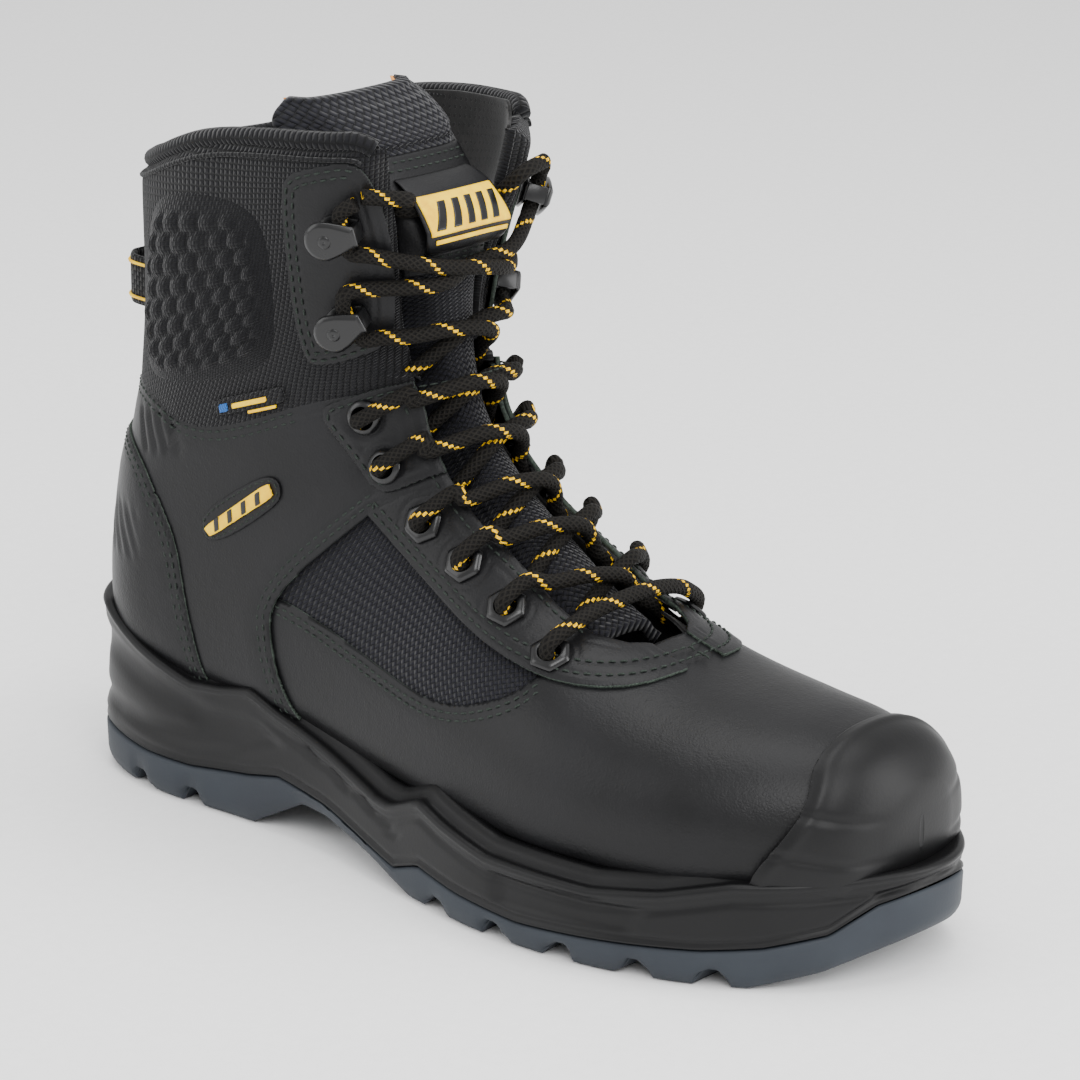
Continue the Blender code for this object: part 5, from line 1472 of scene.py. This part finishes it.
def make_loop():
    """The webbing loop behind the collar."""
    band = flowing([(x, y, 0) for x, y in [(26, -10.3), (16, -10), (6, -8.5), (1.5, -4), (1, 0), (1.5, 4), (6, 8.5),
                                           (16, 10), (26, 10.3)]], 0.8)[:, :2]
    tangent = np.gradient(band, axis=0)
    inwards = np.stack([-tangent[:, 1], tangent[:, 0]], -1)
    inwards /= np.linalg.norm(inwards, axis=1)[:, None]
    inwards *= np.where(np.sum(inwards * (np.array([16, 0]) - band), axis=1) < 0, -1, 1)[:, None]
    heights = np.linspace(148, 164, 18)
    points, uv = [], []
    for depth in (0.0, 1.4):
        for z in heights:
            thin = 0.35 * (1 if z in (148.0, 164.0) else 0)
            d = thin if depth == 0 else depth - thin
            points += [(*p, z) for p in band + inwards * d]
            uv += [(k * 0.08, z / 10) for k in range(len(band))]
    count, rows = len(band), len(heights)
    base = count * rows
    quads = [(i * count + k, i * count + k + 1, (i + 1) * count + k + 1, (i + 1) * count + k)
             for i in range(rows - 1) for k in range(count - 1)]
    rim = list(range(count)) + [i * count + count - 1 for i in range(1, rows)]
    rim += [(rows - 1) * count + k for k in range(count - 2, -1, -1)] + [i * count for i in range(rows - 2, 0, -1)]
    faces = quads + [tuple(base + v for v in q[::-1]) for q in quads]
    faces += [(a, b, base + b, base + a) for a, b in zip(rim, rim[1:] + rim[:1])]
    obj = face_outwards(mesh_object("loop_webbing", points, faces, LOOK["webbing"], uv))
    put(obj, "boot", "webbing", "pull_loop")
    for k, z in enumerate((150.4, 161.6)):
        line = np.column_stack([band - inwards * 0.25, np.full(count, z)])
        stripe = tube(f"loop_stripe_{k + 1}", line[10:-10], 0.55, LOOK["yellow"], 6)
        put(stripe, "boot", "webbing")


make_metalwork()
make_trims()
make_loop()


# ---------------------------------------------------------------- seams

def make_seams():
    for side, name in ((-1, "outer"), (1, "inner")):
        runs = []
        quarter, patch = rounded(QUARTER, 2), rounded(HEEL_PATCH, 2)
        stay, hook = rounded(EYESTAY, 2), rounded(HOOK_PANEL, 2)
        upper, vamp = rounded(UPPER_EYELET_PANEL, 2, 0.15), rounded(VAMP_TOP, 2)
        for inset in (2.3, 4.8):
            runs.append(side_run(quarter, inset, (131, 109), (108, 38), side, 0.3))
            runs.append(side_run(quarter, inset, (0, 132), (101, 137), side, 0.3))
            runs.append(side_run(patch, inset, (2, 113.5), (69, 36), side, 2.0))
        for inset in (2.0, 4.4):
            runs.append(side_run(stay, inset, (129, 106), (197, 77), side, 0.3))
            runs.append(side_run(stay, inset, (197, 77), (241, 80), side, 0.3))
        for inset in (2.4, 4.6):
            runs.append(side_run(vamp, inset, (205, 77), (90, 74), side, -1.4))
        runs.append(side_run(upper, 1.8, (133, 113), (108.5, 137), side, 2.0))
        runs.append(side_run(upper, 1.8, (108.5, 137), (150, 150), side, 2.0))
        for inset in (1.8, 4.2):
            runs.append(side_run(hook, inset, (131, 158), (104.5, 180), side, 0.8))
            runs.append(side_run(hook, inset, (104.5, 180), (130, 215), side, 0.8))
        runs.append(throat_run(6.6, 10.4, 2.4, side, 0.4, stay))
        runs.append(throat_run(11.6, 13.3, 2.4, side, 2.1, upper))
        runs.append(throat_run(14.0, 17.6, 2.2, side, 0.9, hook))
        runs = [run for run in runs if len(run[0]) > 4]
        thread_runs(f"seam_threads_{name}", runs, LOOK["grey thread"])
    badge = rounded(BADGE, 2)
    line = inset_line(badge, 1.0)
    u, angle = on_side(line[:, 0], line[:, 1], -1)
    thread_runs("badge_threads", [(lifted(u, angle, np.full(len(u), 1.95)), fan_normal(u, angle))],
                LOOK["grey thread"], slot="badge", pitch=2.6, length=1.9, radius=0.28)
    rows = []
    for level, lift in ((15.15, PATCH[1]), (15.3, PATCH[1]), (17.34, PATCH[1]), (17.5, PATCH[1])):
        y = np.linspace(-20, 20, 90)
        u = np.full_like(y, level)
        line = tongue_point(u, y, np.full_like(y, lift))
        normal = tongue_point(u, y, np.full_like(y, lift + 1)) - line
        rows.append((line, normal))
    thread_runs("tongue_threads", rows, LOOK["grey thread"], "tongue", "leather", 2.9, 2.2, 0.32)


make_seams()

# ---------------------------------------------------------------- inside

for node in ("footbed", "insole_board", "puncture_plate", "steel_toe_cap", "toe_cap_edge_strip", "heel_counter"):
    inner = bpy.data.objects[node]
    inner.data.materials.clear()
    inner.data.materials.append(LOOK["metal" if "steel" in node or "plate" in node else "lining"])


# ---------------------------------------------------------------- studio

def lamp(name, place, size, power, aim=(0.0, 0.0, 0.1), colour=(1.0, 1.0, 1.0)):
    data = bpy.data.lights.new(name, "AREA")
    data.shape = "RECTANGLE"
    data.size, data.size_y = size
    data.energy = power
    data.color = colour
    obj = bpy.data.objects.new(name, data)
    bpy.context.scene.collection.objects.link(obj)
    obj.location = Vector(place)
    obj.rotation_euler = (Vector(aim) - Vector(place)).to_track_quat("-Z", "Y").to_euler()
    return obj


def make_studio():
    bpy.ops.object.select_all(action="DESELECT")
    bpy.ops.mesh.primitive_plane_add(size=12.0, location=(0, 0, -0.0006))
    floor = bpy.context.object
    floor.name = "studio_floor"
    floor.data.materials.append(LOOK["white"])
    lamp("key", (1.1, -0.9, 1.35), (1.1, 1.1), 26)
    lamp("left softbox", (-0.9, -1.2, 0.75), (0.9, 1.2), 9)
    lamp("right softbox", (1.3, 0.55, 0.55), (0.8, 1.1), 16)
    lamp("top", (0.0, 0.1, 1.7), (1.4, 1.0), 18)
    world = bpy.data.worlds.new("studio")
    world.use_nodes = True
    world.node_tree.nodes["Background"].inputs["Color"].default_value = (1.0, 1.0, 1.0, 1.0)
    world.node_tree.nodes["Background"].inputs["Strength"].default_value = 1.0
    bpy.context.scene.world = world


make_studio()
